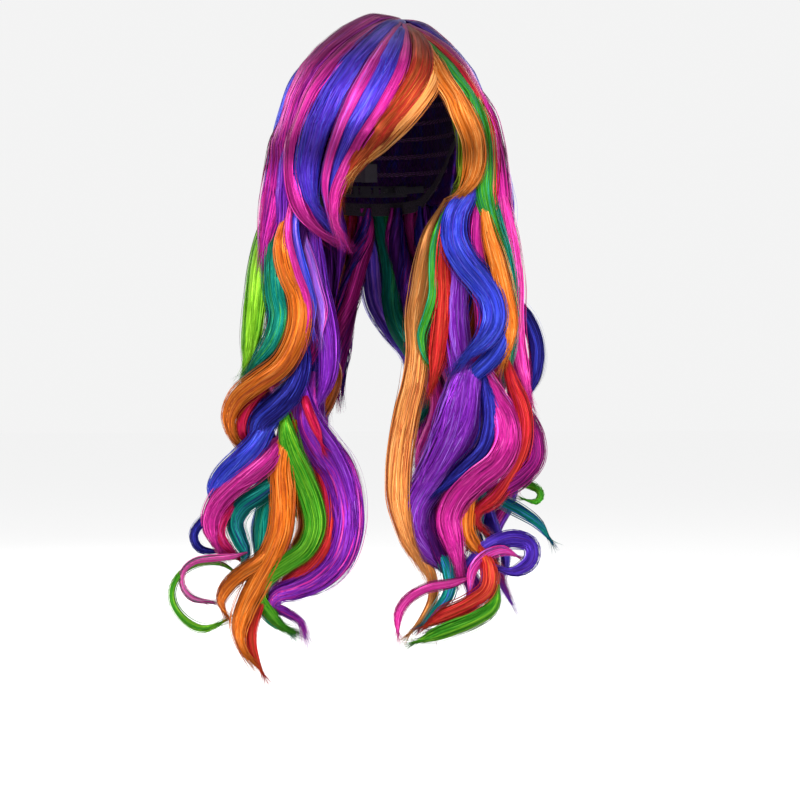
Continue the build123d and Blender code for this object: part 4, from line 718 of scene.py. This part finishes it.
# a second layer that starts under the first and fills the length below the nape
for k, a in enumerate([-8, 6, 20, 34, 48, 62, 76, 104, 118, 132, 146, 160, 174, 188]):
    side = 1 if a < 90 else -1
    word = "left" if side > 0 else "right"
    u = min(1.0, abs(a - 90) / 82)
    rng = np.random.default_rng(190 + k)
    hue, second = BACK_HUES[(k * 3 + 5) % len(BACK_HUES)]
    pts, wid = back_path(a, side, k + 3, 430 + 160 * u + 25 * math.sin(1.9 * k), rng, sink=12.0, low_from=-140.0, inner=13.0)
    # this under layer is darkened as painted shade beneath the first layer
    o = row_lock(f"inner_{word}_{k:02d}_{hue}", word + "_curtain", hue, second, 90, pts, wid, deep=0.75, end=0.15, tip=22, painted_shade=0.85)
    hang(o, word + "_curtain")
    BACK.append(o)

# thin strands of other colours lying over the joins
for k, a in enumerate([-9, 3, 12, 22, 33, 41, 52, 62, 72, 81, 99, 108, 118, 127, 139, 148, 158, 168]):
    side = 1 if a < 90 else -1
    word = "left" if side > 0 else "right"
    u = min(1.0, abs(a - 90) / 82)
    rng = np.random.default_rng(290 + k)
    hue, second = (("pink", "magenta"), ("navy", "blue"), ("lavender", "violet"), ("darkpurple", "plum"), ("magenta", "plum"), ("peach", "orange"))[k % 6]
    pts, wid = back_path(a, side, 2 * (k // 2) + 1, 330 + 170 * u + 30 * math.sin(2.9 * k), rng, sink=-0.6)
    o = row_lock(f"accent_{word}_{k:02d}_{hue}", word + "_curtain", hue, second, 30, pts, wid * 0.22, end=0.3, tip=20)
    hang(o, word + "_curtain")


# (name, body, turns, hues, [(sx, sy, depth, half width)...]): thick hanks, each of several twisted locks
HANKS = [
    ("hank_right_a", "right_curtain", 1.1, ("darkpurple", "blue", "crimson", "plum"), [
        (284, 180, -22, 8), (276, 214, -14, 11), (271, 260, -14, 13), (280, 310, -14, 14), (276, 360, -14, 14), (260, 410, -14, 14), (262, 460, -14, 14), (278, 510, -14, 14), (276, 560, -14, 12), (264, 606, -14, 7)]),
    ("hank_right_b", "right_curtain", -1.3, ("navy", "purple", "teal", "magenta"), [
        (308, 186, -24, 7), (308, 220, -16, 9), (309, 262, -15, 11), (317, 310, -15, 12), (313, 360, -15, 12), (301, 410, -15, 12), (311, 460, -15, 12), (323, 510, -15, 12), (314, 562, -15, 8)]),
    ("hank_left_a", "left_curtain", -1.2, ("darkpurple", "magenta", "blue", "rust"), [
        (474, 182, -22, 8), (466, 218, -15, 10), (464, 260, -14, 12), (471, 310, -14, 13), (464, 360, -14, 13), (453, 410, -16, 13), (446, 460, -18, 13), (440, 510, -20, 12), (447, 556, -22, 7)]),
    ("hank_left_b", "left_curtain", 1.2, ("plum", "teal", "purple", "crimson"), [
        (496, 184, 6, 8), (490, 230, 9, 11), (490, 270, 10, 13), (493, 315, 10, 13), (490, 362, 8, 13), (488, 410, 6, 13), (487, 460, 2, 13), (478, 508, -2, 11), (469, 552, -6, 6)]),
    # purple and navy hair in its darkest hues, which also paint in the shade behind the neck
    ("nape_right_a", "right_curtain", 0.8, ("darkpurple", "purple", "navy"), [
        (338, 206, 66, 8), (336, 240, 72, 12), (330, 270, 72, 13), (320, 310, 70, 13), (313, 355, 68, 13), (311, 402, 66, 12), (316, 448, 66, 7)]),
    ("nape_right_b", "right_curtain", -0.8, ("plum", "navy", "magenta"), [
        (366, 208, 84, 8), (364, 240, 92, 11), (356, 270, 93, 12), (346, 308, 92, 12), (340, 352, 90, 11), (339, 398, 90, 6)]),
    ("nape_left_a", "left_curtain", 0.9, ("navy", "darkpurple", "purple"), [
        (424, 206, 70, 8), (425, 240, 76, 12), (431, 270, 76, 13), (440, 308, 76, 13), (446, 352, 76, 13), (446, 400, 74, 12), (440, 444, 74, 6)]),
    ("nape_left_b", "left_curtain", -0.9, ("plum", "darkpurple", "navy"), [
        (396, 208, 72, 8), (396, 240, 78, 11), (404, 270, 78, 11), (413, 308, 77, 11), (419, 352, 76, 10), (421, 396, 76, 5)]),
]

for name, body, turns, hues, rows in HANKS:
    raw = np.array(rows, float)
    Q, s = spline(np.column_stack([row_of(raw[:, 0], raw[:, 1], raw[:, 2]), raw[:, 3]]), 4.6)
    T, A, N = frames(Q[:, :3], np.repeat(TO_VIEW[None, :], len(Q), 0))
    group = []
    for i, hue in enumerate(hues):
        rng = np.random.default_rng(hash_name(name) + i)
        ang = turns * 6.283 * s / s[-1] + i * 6.283 / len(hues) + wander(rng, s, 90, 0.25)
        rad = Q[:, 3] * UNIT * 0.52
        P = Q[:, :3] + A * (np.cos(ang) * rad)[:, None] + N * (np.sin(ang) * rad * 0.7)[:, None]
        hint = unit(A * np.cos(ang)[:, None] + N * np.sin(ang)[:, None])
        w = taper(s, 0.12, 0.3)
        hw = Q[:, 3] * UNIT * 0.62 * np.maximum(w, 0.12)
        o = join_parts(f"{name}_{hue}", [lock_parts(P, s, hw, hw * 0.72, hint, rng, 44, around=24, tip=18)], hair_material(hue, hues[(i + 1) % len(hues)]))
        hang(o, body)
        group.append(o)
    BACK += group


# ---------------------------------------------------------------- the cap
CAP_KEEP = [(-140, 40), (-140, -60), (-88, -62), (-72, -78), (-58, -98), (-52, -106.5), (-10, -106.5), (-5, -113),
            (20, -130), (40, -160), (60, -186), (140, -197), (140, 40)]


def in_outline(outline, y, z):
    hit = False
    for (y0, z0), (y1, z1) in zip(outline, outline[1:] + outline[:1]):
        if (z0 > z) != (z1 > z) and y < y0 + (y1 - y0) * (z - z0) / (z1 - z0):
            hit = not hit
    return hit


def cap_point(phi, theta, offset):
    d = np.array([math.cos(phi) * math.sin(theta), math.sin(phi) * math.sin(theta), math.cos(theta)])
    up = HEAD_UP + offset if d[2] > 0 else HEAD_DOWN
    t = 1 / math.sqrt((d[0] / (HEAD_X + offset)) ** 2 + (d[1] / (HEAD_Y + offset)) ** 2 + (d[2] / up) ** 2)
    return np.array([0, 0, HEAD_Z]) + d * t


def noise_bump(nt, bsdf, scale, distance, strength=0.6, stretch=(1, 1, 1)):
    tc = nt.nodes.new("ShaderNodeTexCoord")
    mp = nt.nodes.new("ShaderNodeMapping")
    mp.inputs["Scale"].default_value = stretch
    no = nt.nodes.new("ShaderNodeTexNoise")
    no.inputs["Scale"].default_value = scale
    no.inputs["Detail"].default_value = 4
    bu = nt.nodes.new("ShaderNodeBump")
    bu.inputs["Distance"].default_value = distance
    bu.inputs["Strength"].default_value = strength
    nt.links.new(tc.outputs["Object"], mp.inputs["Vector"])
    nt.links.new(mp.outputs["Vector"], no.inputs["Vector"])
    nt.links.new(no.outputs["Fac"], bu.inputs["Height"])
    nt.links.new(bu.outputs["Normal"], bsdf.inputs["Normal"])
    return no, mp


def cloth_material(name, dark, light, rough=0.8, scale=900.0, ribs=None, distance=0.0003):
    m = bpy.data.materials.new(name)
    m.use_nodes = True
    nt = m.node_tree
    bsdf = nt.nodes["Principled BSDF"]
    no, mp = noise_bump(nt, bsdf, scale, distance)
    ramp = nt.nodes.new("ShaderNodeValToRGB")
    ramp.color_ramp.elements[0].position, ramp.color_ramp.elements[0].color = 0.35, lin(*dark)
    ramp.color_ramp.elements[1].position, ramp.color_ramp.elements[1].color = 0.65, lin(*light)
    source = no.outputs["Fac"]
    if ribs:
        wave = nt.nodes.new("ShaderNodeTexWave")
        wave.bands_direction = ribs
        wave.inputs["Scale"].default_value = 260.0
        wave.inputs["Distortion"].default_value = 0.6
        nt.links.new(mp.outputs["Vector"], wave.inputs["Vector"])
        bump = nt.nodes.new("ShaderNodeBump")
        bump.inputs["Distance"].default_value = 0.0004
        bump.inputs["Strength"].default_value = 0.8
        nt.links.new(wave.outputs["Fac"], bump.inputs["Height"])
        nt.links.new(bump.outputs["Normal"], bsdf.inputs["Normal"])
        mix = nt.nodes.new("ShaderNodeMath")
        mix.operation = "MULTIPLY_ADD"
        mix.inputs[1].default_value = 0.5
        nt.links.new(wave.outputs["Fac"], mix.inputs[0])
        half = nt.nodes.new("ShaderNodeMath")
        half.operation = "MULTIPLY"
        half.inputs[1].default_value = 0.5
        nt.links.new(no.outputs["Fac"], half.inputs[0])
        nt.links.new(half.outputs[0], mix.inputs[2])
        source = mix.outputs[0]
    nt.links.new(source, ramp.inputs["Fac"])
    nt.links.new(ramp.outputs["Color"], bsdf.inputs["Base Color"])
    bsdf.inputs["Roughness"].default_value = rough
    return m


LINING = cloth_material("lining_knit", (22, 16, 24), (58, 46, 60), 0.85, 700)
ELASTIC = cloth_material("elastic_rib", (18, 16, 22), (62, 58, 70), 0.7, 600, ribs="Y")
LOOPS = cloth_material("loop_tape_rib", (20, 18, 24), (70, 64, 78), 0.7, 600, ribs="X")
SKIN = cloth_material("parting_skin", (196, 142, 118), (232, 192, 168), 0.55, 160, distance=0.0002)
WEFT = cloth_material("weft_stitch", (34, 10, 40), (104, 52, 116), 0.7, 500, ribs="DIAGONAL")
HOOK = cloth_material("hook_plastic", (14, 13, 16), (34, 32, 38), 0.32, 120, distance=0.00005)
SATIN = cloth_material("label_satin", (44, 38, 50), (84, 76, 92), 0.38, 400, ribs="Z", distance=0.0001)
STAY = cloth_material("stay_plastic", (168, 166, 164), (214, 212, 208), 0.4, 200, distance=0.00005)
NET = cloth_material("net_thread", (12, 9, 14), (46, 38, 50), 0.75, 900)

NODE_MATERIALS = {
    "front_lining_band": LINING, "nape_band": LINING, "centre_elastic": ELASTIC, "left_elastic": ELASTIC,
    "right_elastic": ELASTIC, "parting_strip": SKIN, "weft_rows_upper": WEFT, "weft_rows_middle": WEFT,
    "weft_rows_lower": WEFT, "nape_loop_tape": LOOPS, "care_label": SATIN, "left_adjuster_hook": HOOK,
    "right_adjuster_hook": HOOK, "left_adjuster_strap": ELASTIC, "right_adjuster_strap": ELASTIC,
    "left_ear_tab": LINING, "right_ear_tab": LINING, "left_ear_tab_stay": STAY, "right_ear_tab_stay": STAY,
}
for node, material in NODE_MATERIALS.items():
    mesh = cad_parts[node].data
    mesh.materials.clear()
    mesh.materials.append(material)

# the net itself: threads in diamonds over the cap
segs = []
zones = [(4, 22, 28), (22, 50, 56), (50, 140, 112)]
for t0, t1, cols in zones:
    rows = int((t1 - t0) / 2.5)
    for i in range(rows):
        ta, tb = math.radians(t0 + 2.5 * i), math.radians(t0 + 2.5 * (i + 1))
        for j in range(cols):
            pa = (j + 0.5 * (i % 2)) / cols * 2 * math.pi
            for turn in (-0.5, 0.5):
                pb = pa + turn / cols * 2 * math.pi
                a, b = cap_point(pa, ta, 3.6), cap_point(pb, tb, 3.6)
                if in_outline(CAP_KEEP, a[1], a[2]) and in_outline(CAP_KEEP, b[1], b[2]):
                    segs.append((a, b))
segs = np.array(segs)
run = unit(segs[:, 1] - segs[:, 0])
flat = segs.mean(1) - np.array([0, 0, HEAD_Z])
u_dir = unit(np.cross(run, flat))
w_dir = np.cross(u_dir, run)
tri = np.array([0, 2.094, 4.189])
offs = 0.26 * (u_dir[:, None, :] * np.cos(tri)[None, :, None] + w_dir[:, None, :] * np.sin(tri)[None, :, None])
rings = segs[:, :, None, :] + offs[:, None, :, :]
one = tube_grid(2, 3)
net = to_mesh("stretch_net", rings.reshape(-1, 3), (one[None] + (np.arange(len(segs)) * 6)[:, None, None]).reshape(-1, 4), None, NET)
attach(net, "cap")
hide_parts("stretch_net_cap")

# ---- the hair next to the cap, which closes every gap above it ------------
rows_t, cols_p = 64, 300
FACE_CUT = [(-170, -60), (-98, -62), (-88, -72), (-76, -96), (-68, -126), (-66, -220), (-170, -220)]
grid = np.zeros((2, rows_t, cols_p, 3))
gflow = np.zeros((2, rows_t, cols_p, 3))
for j in range(cols_p):
    phi = j / cols_p * 2 * math.pi
    reach = 20.0
    while reach < 139:
        p = cap_point(phi, math.radians(reach), 9)
        if p[2] < -178 or in_outline(FACE_CUT, p[1], p[2]):
            break
        reach += 0.5
    for i in range(rows_t):
        th = math.radians(reach) * i / (rows_t - 1)
        ripple = 0.5 * math.sin(37 * phi + 2 * math.sin(3 * th)) + 0.4 * math.sin(73 * phi + 1.3 * i / 8) + 0.3 * math.sin(118 * phi)
        fade = min(1.0, th / 0.5)
        grid[0, i, j] = cap_point(phi, th, 9.2 + ripple * fade)
        grid[1, i, j] = cap_point(phi, th, 6.2)
        arc = 95 * math.sin(th)
        gflow[:, i, j] = (math.cos(phi) * arc * 0.6, math.sin(phi) * arc * 0.6, 95 * th * 0.018)
verts = np.concatenate([grid[0].reshape(-1, 3), grid[1].reshape(-1, 3)])
i, j = np.arange(rows_t - 1)[:, None] * cols_p, np.arange(cols_p)[None, :]
k = (j + 1) % cols_p
q = np.stack([i + j, i + cols_p + j, i + cols_p + k, i + k], -1).reshape(-1, 4)
nv = rows_t * cols_p
rim = np.arange(cols_p) + (rows_t - 1) * cols_p
rim2 = (np.arange(cols_p) + 1) % cols_p + (rows_t - 1) * cols_p
edge = np.stack([rim, rim + nv, rim2 + nv, rim2], -1)
under = to_mesh("hair_next_to_cap", verts, np.vstack([q, q[:, ::-1] + nv, edge]), gflow.reshape(-1, 3), hair_material("darkpurple", "navy"))
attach(under, "cap")

# ---- which lock stands for which solid: each solid is hidden ---------------
by_name = {o.name: o for o in bpy.data.objects if o.type == "MESH"}


def stands_for(piece, *nodes):
    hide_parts(*nodes)


stands_for("sweep_left_orange", "crown_orange_and_green_left")
stands_for("sweep_left_magenta", "crown_magenta_left")
stands_for("sweep_right_plum", "crown_magenta_right")
stands_for("sweep_right_blue", "crown_blue_right")
stands_for("fringe_rust", "crown_red_right", "fringe_red_lock")
stands_for("fringe_blue", "fringe_blue_lock") if "fringe_blue" in by_name else stands_for("fringe_dark_seam", "fringe_blue_lock")
stands_for("fringe_violet", "fringe_violet_lock")
stands_for("fringe_magenta", "fringe_magenta_lock")
stands_for("fringe_orange", "fringe_orange_lock")
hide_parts("crown_blue_back")
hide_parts("crown_purple_back")
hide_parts("crown_orange_back")
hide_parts("crown_teal_back")
stands_for("right_teal", "right_teal_locks")
stands_for("right_orange_waves", "right_orange_wave")
stands_for("right_purple", "right_purple_locks")
stands_for("right_navy", "right_navy_lock")
stands_for("right_magenta", "right_magenta_lock")
stands_for("right_green", "right_green_locks")
stands_for("right_red", "right_red_lock")
stands_for("right_orange_fall", "right_orange_drop")
stands_for("right_green_loop", "right_loose_curl")
stands_for("hank_right_a_darkpurple", "right_under_locks")
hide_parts("right_back_locks")
stands_for("nape_right_a_purple", "right_nape_locks")
stands_for("left_blue_wave", "left_blue_locks")
stands_for("left_orange_inner", "left_orange_inner_lock")
stands_for("left_green_bottom", "left_green_locks")
stands_for("left_red_inner", "left_red_locks")
stands_for("left_violet_curl", "left_violet_locks")
stands_for("left_purple", "left_purple_lock")
stands_for("left_magenta", "left_magenta_locks")
stands_for("left_orange_outer", "left_orange_outer_lock")
stands_for("left_teal", "left_teal_locks")
stands_for("left_pink_outer", "left_pink_locks")
stands_for("hank_left_a_darkpurple", "left_under_locks")
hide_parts("left_back_locks")
stands_for("nape_left_a_navy", "left_nape_locks")

# ---------------------------------------------------------------- studio
def studio():
    world = bpy.data.worlds.new("studio")
    bpy.context.scene.world = world
    world.use_nodes = True
    bg = world.node_tree.nodes["Background"]
    bg.inputs["Color"].default_value = (1, 1, 1, 1)
    bg.inputs["Strength"].default_value = 0.90

    bpy.ops.mesh.primitive_plane_add(size=40, location=(0, 0, -0.735))
    floor = bpy.context.object
    floor.name = "floor"
    fm = bpy.data.materials.new("floor_pale")
    fm.use_nodes = True
    fb = fm.node_tree.nodes["Principled BSDF"]
    fb.inputs["Base Color"].default_value = (0.99, 0.99, 0.99, 1)
    fb.inputs["Roughness"].default_value = 0.9
    fb.inputs["Specular IOR Level"].default_value = 0.0
    floor.data.materials.append(fm)

    def area(name, place, aim, size, power, colour=(1, 1, 1)):
        light = bpy.data.lights.new(name, "AREA")
        light.size = size
        light.energy = power
        light.color = colour
        o = bpy.data.objects.new(name, light)
        bpy.context.scene.collection.objects.link(o)
        o.location = place
        from mathutils import Vector
        o.rotation_mode = "QUATERNION"
        o.rotation_quaternion = (Vector(aim) - Vector(place)).to_track_quat("-Z", "Y")

    area("key", (-1.1, -1.7, 0.9), (0, 0, -0.25), 0.8, 30)
    area("fill", (1.5, -1.5, 0.3), (0, 0, -0.3), 0.9, 12)
    area("top", (0.1, 0.1, 1.6), (0, 0, -0.2), 1.0, 8)
    area("back_left", (-1.3, 1.6, 0.5), (0, 0, -0.3), 0.9, 10)
    area("back_right", (1.3, 1.6, 0.4), (0, 0, -0.3), 0.9, 10)

    from mathutils import Vector
    cam = bpy.data.cameras.new("camera")
    co = bpy.data.objects.new("camera", cam)
    bpy.context.scene.collection.objects.link(co)
    cam.sensor_width = 36
    cam.lens = 36 / 2 / (400 * UNIT / DIST)
    back = Vector((-SY, -CY, 0))
    mid = Vector((CY * AIM_X, -SY * AIM_X, AIM_Z)) * 0.001
    co.location = mid + back * (DIST * 0.001)
    co.rotation_mode = "QUATERNION"
    co.rotation_quaternion = (-back).to_track_quat("-Z", "Y")
    cam.clip_start, cam.clip_end = 0.05, 100
    bpy.context.scene.camera = co
    bpy.context.scene.view_settings.view_transform = "Standard"


studio()
